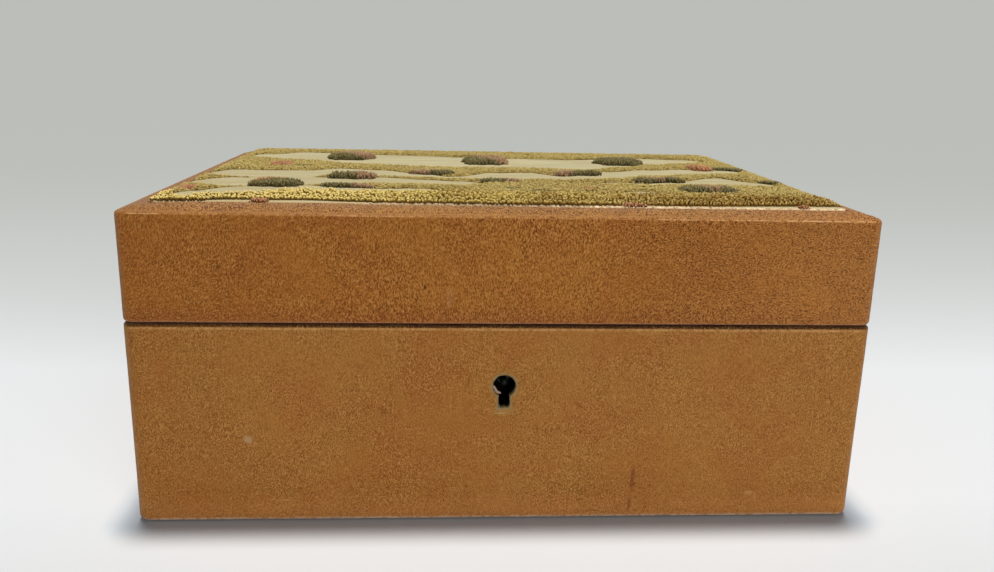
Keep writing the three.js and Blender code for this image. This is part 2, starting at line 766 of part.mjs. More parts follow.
function dividers() {
  const reach = insideY - fitGap;
  const main = alongY(dividerShape(baseHeight - dividerDrop - floor), -reach, reach);
  const mainMesh = addPiece(base, 'main_divider', main, velvet);
  mainMesh.position.set((dividerLeft + dividerRight) / 2, 0, floor);
  const fromX = dividerRight + fitGap;
  const toX = insideX - fitGap;
  const cross = alongX(dividerShape(baseHeight - crossDividerDrop - floor), fromX, toX);
  const crossMesh = addPiece(base, 'cross_divider', cross, velvet);
  crossMesh.position.set(0, (crossFront + crossBack) / 2, floor);
}

// Ring cushions: long rolls, flat underneath, rounded over the top and at both ends

function ringRoll(width, length) {
  const rings = [];
  const stations = crownSteps * 2 + 1;
  for (let station = 0; station <= stations; station += 1) {
    const nearEnd = Math.min(station, stations - station);
    const share = Math.min(nearEnd / crownSteps, 1);
    const along = ringRollEnd * (1 - Math.cos(share * Math.PI / 2));
    const size = 1 - (1 - Math.sin(share * Math.PI / 2)) / 2;
    const y = station < stations / 2 ? along - length / 2 : length / 2 - along;
    const ring = [];
    for (let k = 0; k <= rollSides; k += 1) {
      const angle = Math.PI * k / rollSides;
      const rise = Math.sin(angle) ** (1 / 2);
      const x = width / 2 * size * Math.sign(Math.cos(angle)) * Math.abs(Math.cos(angle)) ** 0.8;
      ring.push(new THREE.Vector3(x, y, ringRollHeight * rise * size));
    }
    rings.push(ring);
  }
  return loft(rings.reverse());
}

function ringSection() {
  const from = -insideX + fitGap;
  const to = dividerLeft - fitGap;
  const reach = insideY - fitGap;
  const bed = block([from, to], [-reach, reach], [floor, ringBedTop]);
  addPiece(base, 'ring_bed', bed, velvet);
  const pitch = (to - from + fitGap) / ringRollCount;
  for (let k = 0; k < ringRollCount; k += 1) {
    const roll = addPiece(base, `ring_roll_${k + 1}`, ringRoll(pitch - fitGap, reach * 2), velvet);
    roll.position.set(from + pitch * (k + 1 / 2) - fitGap / 2, 0, ringBedTop + glueLine);
  }
}

function softInside() {
  const turnFoot = baseHeight - turnDepth - fitGap;
  liningSet(base, '', floor, turnFoot);
  liningSet(lid, 'lid_', lidRim + turnDepth + fitGap, lidCeiling);
  dividers();
  ringSection();
  const padX = [dividerRight + fitGap, insideX - fitGap];
  addCushion(base, 'front_pad', padX, [-insideY + fitGap, crossFront - fitGap], floor,
    padThickness, padCrown, velvet);
  addCushion(base, 'rear_pad', padX, [crossBack + fitGap, insideY - fitGap], floor,
    padThickness, padCrown, velvet);
  const lidPad = addCushion(lid, 'lid_pad', [fitGap - insideX, insideX - fitGap],
    [fitGap - insideY, insideY - fitGap], lidCeiling, lidPadThickness, lidPadCrown, satin);
  lidPad.rotation.x = Math.PI;
}

// Countersunk screws

function screw() {
  const profile = [
    [0, 0], [screwHeadRadius, 0], [screwShankRadius, -screwHeadDepth],
    [screwShankRadius, -screwLength + screwShankRadius * 2], [0, -screwLength],
  ].map(([x, y]) => new THREE.Vector2(x, y)).reverse();
  const body = new THREE.LatheGeometry(profile, screwSides).rotateX(Math.PI / 2);
  const half = screwSlotWidth / 2;
  const slot = cutter([-screwHeadRadius - overrun, screwHeadRadius + overrun], [-half, half],
    [-screwSlotDepth, overrun]);
  return toGeometry(cut(solid(body), slot));
}

function countersink(x, y, rim, side) {
  const grow = screwClearance;
  const profile = [
    [0, overrun], [screwHeadRadius + grow, overrun], [screwHeadRadius + grow, 0],
    [screwShankRadius + grow, -screwHeadDepth], [screwShankRadius + grow, -screwLength],
    [0, -screwLength],
  ].map(([px, py]) => new THREE.Vector2(px, py)).reverse();
  const body = new THREE.LatheGeometry(profile, screwSides).rotateX(Math.PI / 2);
  if (side > 0) body.rotateX(Math.PI);
  return solid(body.translate(x, y, rim));
}

const screwGeometry = screw();

function addScrew(parent, name, x, y, rim, side, turn) {
  const mesh = addPiece(parent, name, screwGeometry, brass);
  mesh.position.set(x, y, rim);
  mesh.rotation.set(side > 0 ? Math.PI : 0, 0, turn);
  return mesh;
}

// Butt hinges: knuckles in turn on one pin, leaves let into the rims

function hingeLeaf(side) {
  const inner = seamGap / 2;
  const z = [side * inner, side * (inner + leafThickness)].sort((a, b) => a - b);
  const near = -(knuckleRadius + fitGap);
  const pitch = leafLength / knuckleCount;
  let body = cutter([-leafLength / 2, leafLength / 2], [-leafWidth, near], z);
  for (let k = side < 0 ? 0 : 1; k < knuckleCount; k += 2) {
    const centre = pitch * (k + 1 / 2) - leafLength / 2;
    const half = (pitch - knuckleSideGap) / 2;
    const arm = cutter([centre - half, centre + half], [near - fitGap, 0], z);
    const knuckle = solid(rodAlongX(knuckleRadius, half * 2).translate(centre, 0, 0));
    body = join(body, arm, knuckle);
  }
  const bore = solid(rodAlongX(pinRadius + pinClearance, leafLength + overrun));
  const sinks = hingeScrewPlaces().map(([x, y]) => countersink(x, y, side * inner, side));
  return toGeometry(cut(body, bore, ...sinks));
}

function hingePin() {
  const half = leafLength / 2;
  const end = half + knuckleSideGap;
  const profile = [
    [0, -end - pinHeadLength], [pinHeadRadius / 2, -end - pinHeadLength], [pinHeadRadius, -end],
    [pinRadius, -end], [pinRadius, end], [pinHeadRadius, end],
    [pinHeadRadius / 2, end + pinHeadLength], [0, end + pinHeadLength],
  ].map(([x, y]) => new THREE.Vector2(x, y));
  return new THREE.LatheGeometry(profile, roundSides).rotateZ(Math.PI / 2);
}

function hinges() {
  const baseLeaf = hingeLeaf(-1);
  const lidLeaf = hingeLeaf(1);
  const pin = hingePin();
  hingePlaces().forEach((x, index) => {
    const side = index ? 'right' : 'left';
    for (const [parent, name, geometry] of [
      [base, 'base_leaf', baseLeaf], [lid, 'lid_leaf', lidLeaf], [base, 'hinge_pin', pin]]) {
      const mesh = addPiece(parent, `${side}_${name}`, geometry, brass);
      mesh.position.set(x, hingeY, hingeZ);
    }
    hingeScrewPlaces().forEach(([along, across], number) => {
      const turn = number + index;
      addScrew(base, `${side}_base_leaf_screw_${number + 1}`, x + along, hingeY + across,
        baseHeight, -1, turn);
      addScrew(lid, `${side}_lid_leaf_screw_${number + 1}`, x + along, hingeY + across,
        lidRim, 1, turn + 1);
    });
  });
}

// Box lock: an angle plate with a case behind the keyhole, and a bolt that slides sideways

function lugPlaces() {
  return [-lugSpacing / 2, lugSpacing / 2];
}

function lockPlate() {
  const half = lockPlateLength / 2;
  const selvedge = cutter([-half, half],
    [frontFace(plateInner - selvedgeWidth), frontFace(plateInner)],
    [selvedgeBottom, selvedgeTop]);
  const back = cutter([-half, half], [frontFace(plateOuter), frontFace(plateInner)],
    [selvedgeTop - lockPlateHeight, selvedgeTop]);
  const slots = lugPlaces().map((x) => {
    const halfX = lugThickness / 2 + lugClearance;
    const halfY = lugWidth / 2 + lugClearance;
    return cutter([x - halfX, x + halfX],
      [frontFace(lockLine) - halfY, frontFace(lockLine) + halfY],
      [selvedgeBottom - overrun / 2, selvedgeTop + overrun]);
  });
  const sinks = lockScrewPlaces().map(([x, y]) => countersink(x, y, selvedgeTop, -1));
  return cut(join(selvedge, back), ...slots, ...sinks);
}

function lockCase() {
  const half = caseWidth / 2;
  const top = selvedgeBottom - glueLine;
  const inner = half - caseWall;
  const shell = cutter([-half, half], [frontFace(caseOuter), frontFace(plateOuter - glueLine)],
    [caseBottom, top]);
  const room = cutter([-inner, inner],
    [frontFace(caseOuter + caseWall), frontFace(plateOuter + overrun)],
    [caseBottom + caseWall, top + overrun]);
  const ledgeTop = boltBarBottom - fitGap;
  const ledges = [-1, 1].map((sign) => {
    const x = [sign * ledgeInset, sign * (inner + caseWall / 2)].sort((a, b) => a - b);
    return cutter(x, [frontFace(caseOuter + caseWall / 2), frontFace(plateOuter - glueLine)],
      [ledgeTop - ledgeHeight, ledgeTop]);
  });
  return cut(join(cut(shell, room), ...ledges),
    keyholeCut(0, caseOuter - overrun, caseOuter + caseWall + overrun / 2));
}

function drillPin() {
  const foot = 0;
  const tip = plateOuter - glueLine - drillPinRecess;
  const dome = drillPinRadius;
  const profile = [
    [0, foot], [drillPinFlange, foot], [drillPinFlange, drillPinFlangeDepth],
    [drillPinRadius, drillPinFlangeDepth],
  ].map(([x, y]) => new THREE.Vector2(x, y));
  for (let step = 0; step <= edgeSteps; step += 1) {
    const angle = Math.PI / 2 * step / edgeSteps;
    profile.push(new THREE.Vector2(dome * Math.cos(angle), tip - dome + dome * Math.sin(angle)));
  }
  profile[profile.length - 1].x = 0;
  const body = new THREE.LatheGeometry(profile, roundSides).rotateX(Math.PI);
  return body.translate(0, frontFace(plateOuter - glueLine), keyholeHeight);
}

// The bolt's bar rests on the case's ledges, and its two posts carry prongs for the lugs
function lockBolt() {
  const barTop = boltBarBottom + boltBarHeight;
  const prongMid = lidRim - lugHoleDrop;
  const prongLow = prongMid - prongHeight / 2;
  const prongTop = prongMid + prongHeight / 2;
  const faces = lugPlaces().map((x) => x - lugThickness / 2);
  const posts = faces.map((face) => face - boltTravel - fitGap - boltPostWidth);
  const barEnd = faces[1] + lugThickness + boltBarTail;
  const barShape = outline([
    [posts[0], boltBarBottom],
    [-(boltTravel + talonWidth) / 2, boltBarBottom],
    [-(boltTravel + talonWidth) / 2, boltBarBottom + talonDepth],
    [(talonWidth - boltTravel) / 2, boltBarBottom + talonDepth],
    [(talonWidth - boltTravel) / 2, boltBarBottom],
    [barEnd, boltBarBottom],
    [barEnd, barTop],
    [posts[0], barTop],
  ]);
  const bar = solid(alongY(barShape, frontFace(caseOuter + caseWall + fitGap),
    frontFace(plateOuter - fitGap)));
  const hooks = faces.map((face, index) => {
    const post = posts[index];
    const hook = outline([
      [post, barTop - boltBarHeight / 2],
      [post + boltPostWidth, barTop - boltBarHeight / 2],
      [post + boltPostWidth, prongLow],
      [face - prongShort, prongLow],
      [face - prongShort, prongTop],
      [post, prongTop],
    ]);
    return solid(alongY(hook, frontFace(lockLine) - prongThickness / 2,
      frontFace(lockLine) + prongThickness / 2));
  });
  return join(bar, ...hooks);
}

function linkPlate() {
  const half = linkPlateLength / 2;
  const plate = cutter([-half, half],
    [frontFace(plateInner - selvedgeWidth), frontFace(plateInner)],
    [lidRim, lidRim + lockPlateThickness]);
  const lugs = lugPlaces().map((x) => cutter(
    [x - lugThickness / 2, x + lugThickness / 2],
    [frontFace(lockLine) - lugWidth / 2, frontFace(lockLine) + lugWidth / 2],
    [lidRim - lugLength, lidRim + lockPlateThickness / 2]));
  const holeHalf = lugSpacing;
  const hole = cutter([-holeHalf, holeHalf],
    [frontFace(lockLine) - lugHoleWidth / 2, frontFace(lockLine) + lugHoleWidth / 2],
    [lidRim - lugHoleDrop - lugHoleHeight / 2, lidRim - lugHoleDrop + lugHoleHeight / 2]);
  const sinks = linkScrewPlaces().map(([x, y]) => countersink(x, y, lidRim, 1));
  return cut(join(plate, ...lugs), hole, ...sinks);
}

function boxLock() {
  addPiece(base, 'lock_plate', toGeometry(lockPlate()), brass);
  addPiece(base, 'lock_case', toGeometry(lockCase()), brass);
  addPiece(base, 'drill_pin', drillPin(), steel);
  addPiece(base, 'lock_bolt', toGeometry(lockBolt()), steel);
  addPiece(lid, 'link_plate', toGeometry(linkPlate()), brass);
  lockScrewPlaces().forEach(([x, y], index) => {
    addScrew(base, `lock_screw_${index + 1}`, x, y, selvedgeTop, -1, index + 1);
  });
  linkScrewPlaces().forEach(([x, y], index) => {
    addScrew(lid, `link_screw_${index + 1}`, x, y, lidRim, 1, index + 2);
  });
}

carcass();
leatherSkins();
addPiece(lid, 'textile_panel', toGeometry(textilePanel()), moquette);
softInside();
hinges();
boxLock();

export default model;
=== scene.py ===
import logging
import math
from collections.abc import Callable
from dataclasses import dataclass
from enum import Enum
from functools import cached_property

import bmesh
import bpy
import numpy as np
from mathutils import Matrix, Vector, noise


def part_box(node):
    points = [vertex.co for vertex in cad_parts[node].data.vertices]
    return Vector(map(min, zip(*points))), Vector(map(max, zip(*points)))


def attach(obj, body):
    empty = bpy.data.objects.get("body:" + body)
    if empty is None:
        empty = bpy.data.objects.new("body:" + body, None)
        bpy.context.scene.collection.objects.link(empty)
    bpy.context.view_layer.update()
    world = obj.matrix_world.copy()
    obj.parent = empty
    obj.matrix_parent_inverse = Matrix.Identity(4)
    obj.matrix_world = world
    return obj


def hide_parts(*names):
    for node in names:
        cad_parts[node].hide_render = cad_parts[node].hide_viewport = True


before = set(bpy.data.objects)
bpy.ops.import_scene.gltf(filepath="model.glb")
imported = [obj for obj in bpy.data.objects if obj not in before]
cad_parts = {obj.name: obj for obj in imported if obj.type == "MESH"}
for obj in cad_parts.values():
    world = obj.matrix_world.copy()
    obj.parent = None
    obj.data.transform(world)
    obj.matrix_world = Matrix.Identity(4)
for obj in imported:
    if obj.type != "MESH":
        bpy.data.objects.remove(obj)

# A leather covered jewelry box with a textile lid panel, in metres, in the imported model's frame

log = logging.getLogger("jewelry_box")

MM = 0.001
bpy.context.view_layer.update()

Colour = tuple[float, float, float, float]
Socket = bpy.types.NodeSocket
Material = bpy.types.Material
Piece = bpy.types.Object


class Body(Enum):
    """The moving parts of the box that new pieces ride on."""

    BASE = "base"
    LID = "lid"


class Slot(Enum):
    """The record's finishes, passed along with new pieces."""

    LEATHER = "leather"
    FELT = "felt"
    VELVET = "velvet"
    VELVET_WOOD = "velvet_wood"
    SATIN = "satin"
    MOQUETTE = "moquette"


class Axis(Enum):
    """An axis of the frame, as its place in a point."""

    X = 0
    Y = 1
    Z = 2


def dyed(red: int, green: int, blue: int) -> Colour:
    """Turn a colour as it is seen, 0 to 255 a channel, into linear light.

    Args:
        red: The red channel.
        green: The green channel.
        blue: The blue channel.

    Returns:
        The colour with a full alpha.
    """
    def channel(value: int) -> float:
        """Return one channel in linear light."""
        share = value / 255
        return share / 12.92 if share <= 0.04045 else ((share + 0.055) / 1.055) ** 2.4

    return channel(red), channel(green), channel(blue), 1.0


def smooth_step(share: np.ndarray) -> np.ndarray:
    """Return shares eased at 0 and 1, and held between them."""
    held = np.clip(share, 0.0, 1.0)
    return held * held * (3 - 2 * held)


def eased_curve(at: np.ndarray, knots: tuple[float, ...], values: tuple[float, ...]) -> np.ndarray:
    """Follow a few knots with a curve that is level at each of them.

    Args:
        at: Where the curve is wanted.
        knots: The knots' places, rising.
        values: The curve's value at each knot.

    Returns:
        The curve's values.
    """
    places = np.asarray(knots)
    heights = np.asarray(values)
    span = np.clip(np.searchsorted(places, at) - 1, 0, len(places) - 2)
    share = smooth_step((at - places[span]) / (places[span + 1] - places[span]))
    return heights[span] + (heights[span + 1] - heights[span]) * share


def ripple(points: np.ndarray, size: float, seed: float = 0.0) -> np.ndarray:
    """Give each point a smooth wavering value between -1 and 1.

    Args:
        points: The points, one a row.
        size: The width of one wave.
        seed: A shift that gives another pattern.

    Returns:
        One value for each point.
    """
    shift = Vector((seed, seed * 1.7, seed * 2.3))
    return np.array([noise.noise(Vector(point) / size + shift) for point in points])


def in_mm(*values: float) -> tuple[float, ...]:
    """Turn lengths in millimetres into metres."""
    return tuple(value * MM for value in values)


def front_mm(*values: float) -> tuple[float, ...]:
    """Turn distances from the box's front, in millimetres, into places along Y."""
    return tuple((value - 75) * MM for value in values)


# Meshes

ROD_SIDES = 32


def put_in_scene(name: str, data: bpy.types.ID) -> Piece:
    """Put a mesh, light or camera in the scene.

    Args:
        name: The new object's name.
        data: What it shows.

    Returns:
        The object.
    """
    added = bpy.data.objects.new(name, data)
    bpy.context.scene.collection.objects.link(added)
    return added


def new_piece(name: str, points: np.ndarray, faces: np.ndarray) -> Piece:
    """Make a smooth shaded piece from points and faces of equally many corners.

    Args:
        name: The piece's name.
        points: The points, one a row.
        faces: The points' numbers, one face a row.

    Returns:
        The piece, in the scene.
    """
    mesh = bpy.data.meshes.new(name)
    mesh.vertices.add(len(points))
    mesh.vertices.foreach_set("co", points.astype(np.float32).ravel())
    mesh.loops.add(faces.size)
    mesh.loops.foreach_set("vertex_index", faces.astype(np.int32).ravel())
    mesh.polygons.add(len(faces))
    starts = np.arange(0, faces.size, faces.shape[1], dtype=np.int32)
    mesh.polygons.foreach_set("loop_start", starts)
    mesh.update(calc_edges=True)
    mesh.validate()
    mesh.shade_smooth()
    return put_in_scene(name, mesh)


def places_of(piece: Piece) -> np.ndarray:
    """Read a piece's points.

    Args:
        piece: The piece.

    Returns:
        The points, one a row.
    """
    places = np.empty(len(piece.data.vertices) * 3, np.float32)
    piece.data.vertices.foreach_get("co", places)
    return places.reshape(-1, 3)


def move_points(piece: Piece, places: np.ndarray) -> None:
    """Move a piece's points to new places."""
    piece.data.vertices.foreach_set("co", places.ravel())
    piece.data.update()


def write_values(piece: Piece, name: str, values: np.ndarray) -> None:
    """Store one number for each of a piece's points."""
    attribute = piece.data.attributes.new(name, "FLOAT", "POINT")
    attribute.data.foreach_set("value", values.astype(np.float32))


def facing_out(points: np.ndarray, faces: np.ndarray) -> np.ndarray:
    """Turn a closed body's faces outwards.

    Args:
        points: The body's points, one a row.
        faces: The points' numbers, one face a row.

    Returns:
        The faces.
    """
    first, second, third, last = (points[faces[:, corner]] for corner in (0, 1, 2, -1))
    near = np.einsum("ij,ij->i", first, np.cross(second, third)).sum()
    far = np.einsum("ij,ij->i", first, np.cross(third, last)).sum()
    return faces if near + far > 0 else faces[:, ::-1]


def grid_faces(rows: int, columns: int, ring_rows: bool = False, ring_columns: bool = False) -> np.ndarray:
    """Number the four-sided faces of a grid of points.

    Args:
        rows: How many rows of points there are.
        columns: How many points a row has.
        ring_rows: Whether the last row joins the first.
        ring_columns: Whether the last point of a row joins its first.

    Returns:
        The faces, one a row.
    """
    number = np.arange(rows * columns).reshape(rows, columns)
    if ring_rows:
        number = np.vstack([number, number[:1]])
    if ring_columns:
        number = np.hstack([number, number[:, :1]])
    corners = (number[:-1, :-1], number[:-1, 1:], number[1:, 1:], number[1:, :-1])
    return np.stack(corners, axis=-1).reshape(-1, 4)


def settle_modifiers(piece: Piece) -> None:
    """Turn a piece's modifiers into plain mesh.

    Args:
        piece: The piece.
    """
    depsgraph = bpy.context.evaluated_depsgraph_get()
    settled = bpy.data.meshes.new_from_object(piece.evaluated_get(depsgraph))
    piece.modifiers.clear()
    piece.data = settled


def rework(piece: Piece, change: Callable[[bmesh.types.BMesh], object]) -> None:
    """Change a piece in an edit body, and turn its faces outwards.

    Args:
        piece: The piece.
        change: What is done to the edit body.
    """
    body = bmesh.new()
    body.from_mesh(piece.data)
    change(body)
    bmesh.ops.recalc_face_normals(body, faces=body.faces)
    body.to_mesh(piece.data)
    body.free()
    piece.data.shade_smooth()


def cut_away(piece: Piece, cutters: list[Piece]) -> None:
    """Cut closed bodies out of a piece, and clear them away.

    Args:
        piece: The piece to cut.
        cutters: The bodies to take out, whose materials line the cuts.
    """
    for cutter in cutters:
        modifier = piece.modifiers.new(cutter.name, "BOOLEAN")
        modifier.operation = "DIFFERENCE"
        modifier.solver = "EXACT"
        modifier.material_mode = "TRANSFER"
        modifier.object = cutter
    settle_modifiers(piece)
    for cutter in cutters:
        bpy.data.objects.remove(cutter)


def box_cutter(name: str, low: tuple[float, ...], high: tuple[float, ...]) -> Piece:
    """Make a box for a cut.

    Args:
        name: The box's name.
        low: Its lower corner.
        high: Its upper corner.

    Returns:
        The box.
    """
    body = bmesh.new()
    middle = (Vector(low) + Vector(high)) / 2
    size = Vector(high) - Vector(low)
    bmesh.ops.create_cube(body, size=1, matrix=Matrix.Translation(middle) @ Matrix.Diagonal(size).to_4x4())
    return _cutter_of(name, body)


def rod_cutter(name: str, middle: tuple[float, ...], radius: float, length: float) -> Piece:
    """Make a round rod along X for a cut.

    Args:
        name: The rod's name.
        middle: The place of its middle.
        radius: Its radius.
        length: Its length.

    Returns:
        The rod.
    """
    body = bmesh.new()
    turn = Matrix.Translation(Vector(middle)) @ Matrix.Rotation(math.pi / 2, 4, "Y")
    bmesh.ops.create_cone(body, cap_ends=True, segments=ROD_SIDES, radius1=radius,
                          radius2=radius, depth=length, matrix=turn)
    return _cutter_of(name, body)


def prism_cutter(name: str, outline: np.ndarray, front: float, back: float) -> Piece:
    """Make a body for a cut that has one upright outline all through.

    Args:
        name: The body's name.
        outline: The outline's points in X and Z.
        front: Where the body starts along Y.
        back: Where it ends.

    Returns:
        The body.
    """
    body = bmesh.new()
    rings = [[body.verts.new((x, depth, z)) for x, z in outline] for depth in (front, back)]
    body.faces.new(rings[0])
    body.faces.new(rings[1][::-1])
    for at in range(len(outline)):
        after = (at + 1) % len(outline)
        body.faces.new((rings[0][after], rings[0][at], rings[1][at], rings[1][after]))
    return _cutter_of(name, body)


def _cutter_of(name: str, body: bmesh.types.BMesh) -> Piece:
    """Turn an edit body into a cutter with its faces outwards.

    Args:
        name: The cutter's name.
        body: The edit body, which is cleared away.

    Returns:
        The cutter.
    """
    bmesh.ops.recalc_face_normals(body, faces=body.faces)
    mesh = bpy.data.meshes.new(name)
    body.to_mesh(mesh)
    body.free()
    return put_in_scene(name, mesh)


def seat(piece: Piece, body: Body, slot: Slot, *nodes: str) -> Piece:
    """Let a piece ride on a body, and hide the nodes that it stands for.

    Args:
        piece: The piece.
        body: The body that carries it.
        slot: The record's finish, which is not used.
        nodes: The nodes that it replaces.

    Returns:
        The piece.
    """
    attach(piece, body.value)
    if nodes:
        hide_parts(*nodes)
    log.info("%s rides on the %s, %d faces", piece.name, body.value, len(piece.data.polygons))
    return piece


# Finishes


@dataclass(frozen=True)
class Clouds:
    """Soft patches: their width, their finer layers, and the values where they start and are full."""

    size: float
    detail: float
    start: float
    full: float
    roughness: float = 0.5
    twist: float = 0.0


class Board:
    """A node sheet, with short calls for the nodes that the finishes share."""

    def __init__(self, owner: Material | bpy.types.World) -> None:
        """Start the sheet with the shader that it comes with.

        Args:
            owner: The material or the surround that the sheet is for.
        """
        owner.use_nodes = True
        self._tree = owner.node_tree
        shaders = ("BSDF_PRINCIPLED", "BACKGROUND")
        self.shader = next(node for node in self._tree.nodes if node.type in shaders)

    @cached_property
    def place(self) -> Socket:
        """The place in the frame."""
        return self._tree.nodes.new("ShaderNodeTexCoord").outputs["Object"]

    @cached_property
    def axes(self) -> tuple[Socket, ...]:
        """The place along X, Y and Z."""
        return self.split(self.place)

    def node(self, kind: str, inputs: dict, **settings: object) -> bpy.types.Node:
        """Add a node.

        Args:
            kind: The node's type.
            inputs: A socket or a plain value for each input that isn't left as it is.
            settings: The node's own settings.

        Returns:
            The node.
        """
        node = self._tree.nodes.new(kind)
        for setting, value in settings.items():
            setattr(node, setting, value)
        for key, value in inputs.items():
            self.feed(node.inputs[key], value)
        return node

    def feed(self, socket: Socket, value: object) -> None:
        """Link a socket to an input, or set the input's value.

        Args:
            socket: The input.
            value: The socket or the plain value that it gets.
        """
        if isinstance(value, Socket):
            self._tree.links.new(value, socket)
        else:
            socket.default_value = value

    def math(self, operation: str, *values: object) -> Socket:
        """Return the result of a sum on numbers."""
        return self.node("ShaderNodeMath", dict(enumerate(values)), operation=operation).outputs[0]

    def times(self, value: object, by: object) -> Socket:
        """Return one number times another."""
        return self.math("MULTIPLY", value, by)

    def scaled(self, value: object, by: object, plus: object) -> Socket:
        """Return one number times another, with a third added."""
        return self.math("MULTIPLY_ADD", value, by, plus)

    def less(self, value: object, by: object) -> Socket:
        """Return one number less another."""
        return self.math("SUBTRACT", value, by)

    def past(self, value: object, half: float) -> Socket:
        """Return how far a place lies beyond a distance on either side of the middle."""
        return self.less(self.math("ABSOLUTE", value), half)

    def vector(self, operation: str, *values: object) -> Socket:
        """Return the result of a sum on points."""
        node = self.node("ShaderNodeVectorMath", dict(enumerate(values)), operation=operation)
        return node.outputs["Value" if operation == "LENGTH" else "Vector"]

    def split(self, point: Socket) -> tuple[Socket, ...]:
        """Return a point's three numbers."""
        return tuple(self.node("ShaderNodeSeparateXYZ", {0: point}).outputs)

    def merge(self, x: object, y: object, z: object) -> Socket:
        """Return the point of three numbers."""
        return self.node("ShaderNodeCombineXYZ", {0: x, 1: y, 2: z}).outputs[0]

    def distance(self, across: object, up: object) -> Socket:
        """Return the length of two steps at right angles."""
        return self.vector("LENGTH", self.merge(across, up, 0.0))

    def noise(self, size: float, detail: float = 2.0, at: object = None, roughness: float = 0.5,
              twist: float = 0.0) -> Socket:
        """Make cloudy values from 0 to 1.

        Args:
            size: The width of a patch.
            detail: How many finer layers it has.
            at: The place in the clouds, or none for the place in the frame.
            roughness: How strong the finer layers are.
            twist: How far the patches are drawn into curls.

        Returns:
            The values.
        """
        inputs = {"Vector": at or self.place, "Scale": 1 / size, "Detail": detail,
                  "Roughness": roughness, "Distortion": twist}
        return self.node("ShaderNodeTexNoise", inputs).outputs[0]

    def threads(self, size: float, detail: float, stretch: float) -> Socket:
        """Return cloudy values that are drawn out along X, as threads and scratches are."""
        x, y, z = self.axes
        return self.noise(size, detail, self.merge(self.times(x, stretch), y, z))

    def blend(self, share: object, first: object, second: object) -> Socket:
        """Return a number that goes from the first at 0 to the second at 1."""
        return self.scaled(share, self.less(second, first), first)

    def between(self, value: object, low: float, high: float) -> Socket:
        """Return 0 at low and 1 at high, eased and held outside them."""
        inputs = {"Value": value, "From Min": low, "From Max": high}
        return self.node("ShaderNodeMapRange", inputs, interpolation_type="SMOOTHSTEP").outputs[0]

    def clouds(self, kind: Clouds, at: object = None) -> Socket:
        """Return how far each place lies in a patch of clouds."""
        values = self.noise(kind.size, kind.detail, at, kind.roughness, kind.twist)
        return self.between(values, kind.start, kind.full)

    def mix(self, share: object, first: object, second: object) -> Socket:
        """Return a blend of two colours."""
        return self.node("ShaderNodeMix", {0: share, 6: first, 7: second}, data_type="RGBA").outputs[2]

    def tint(self, colour: object, other: object, share: object, strength: object) -> Socket:
        """Return a colour with another over it, by a share times a strength."""
        return self.mix(self.times(share, strength), colour, other)

    def bump(self, height: object, depth: float, strength: float = 1.0, under: object = None) -> Socket:
        """Give the surface a relief.

        Args:
            height: The relief's height from 0 to 1.
            depth: How far apart 0 and 1 lie.
            strength: How much of it shows.
            under: The surface direction that it lies on, or none for the bare mesh.

        Returns:
            The new surface direction.
        """
        inputs = {"Height": height, "Distance": depth, "Strength": strength}
        if under is not None:
            inputs["Normal"] = under
        return self.node("ShaderNodeBump", inputs).outputs[0]

    def attribute(self, name: str) -> Socket:
        """Return a number that the mesh carries."""
        return self.node("ShaderNodeAttribute", {}, attribute_name=name).outputs["Fac"]

    def show_plainly(self, colour: object, share: object = 1.0, kind: str = "ShaderNodeEmission") -> None:
        """Show a plain colour, unlit, where the surface or surround is only looked at.

        Args:
            colour: The colour.
            share: How much of it shows.
            kind: The type of the node that shows it.
        """
        sight = self.node("ShaderNodeLightPath", {}).outputs
        looked_at = self.math("MAXIMUM", sight["Is Glossy Ray"], sight["Is Transmission Ray"])
        looked_at = self.math("MAXIMUM", sight["Is Camera Ray"], looked_at)
        plain = self.node(kind, {"Color": colour}).outputs[0]
        inputs = {0: self.times(looked_at, share), 1: self.shader.outputs[0], 2: plain}
        blend = self.node("ShaderNodeMixShader", inputs).outputs[0]
        output = next(node for node in self._tree.nodes if node.type.startswith("OUTPUT"))
        self.feed(output.inputs["Surface"], blend)

    def shade(self, **plain: object) -> None:
        """Feed the shader's inputs, each named in small letters with underlines."""
        for name, value in plain.items():
            self.feed(self.shader.inputs[name.replace("_", " ").title().replace("Ior", "IOR")], value)


@dataclass(frozen=True)
class Finish:
    """A finish, with the name of its material."""

    name: str

    def material(self) -> Material:
        """Make the finish's material.

        Returns:
            The material, with its nodes.
        """
        made = bpy.data.materials.new(self.name)
        self.lay(Board(made))
        return made

    def lay(self, board: Board) -> None:
        """Lay the finish out on its board; each finish has its own way."""
        raise NotImplementedError(self.name)


@dataclass(frozen=True)
class LeatherMark:
    """A soft spot, scar or streak on the front of the box."""

    x: float
    z: float
    half_width: float
    half_height: float
    colour: Colour
    strength: float


@dataclass(frozen=True)
class WornLitEdge:
    """A level edge of the skin, made pale along a few stretches and faintly along the rest, partly by rubbed
    wear and partly by painted light.
    """

    z: float
    reach: float
    colour: Colour
    stretches: tuple[tuple[float, float, float], ...]
    faint: float = 0.2


@dataclass(frozen=True)
class LeatherZone:
    """A zone of the skin with its own tint, coming in between two places along an axis; most of them are
    painted light and shade.
    """

    start: float
    full: float
    colour: Colour
    share: float
    along: Axis = Axis.Z


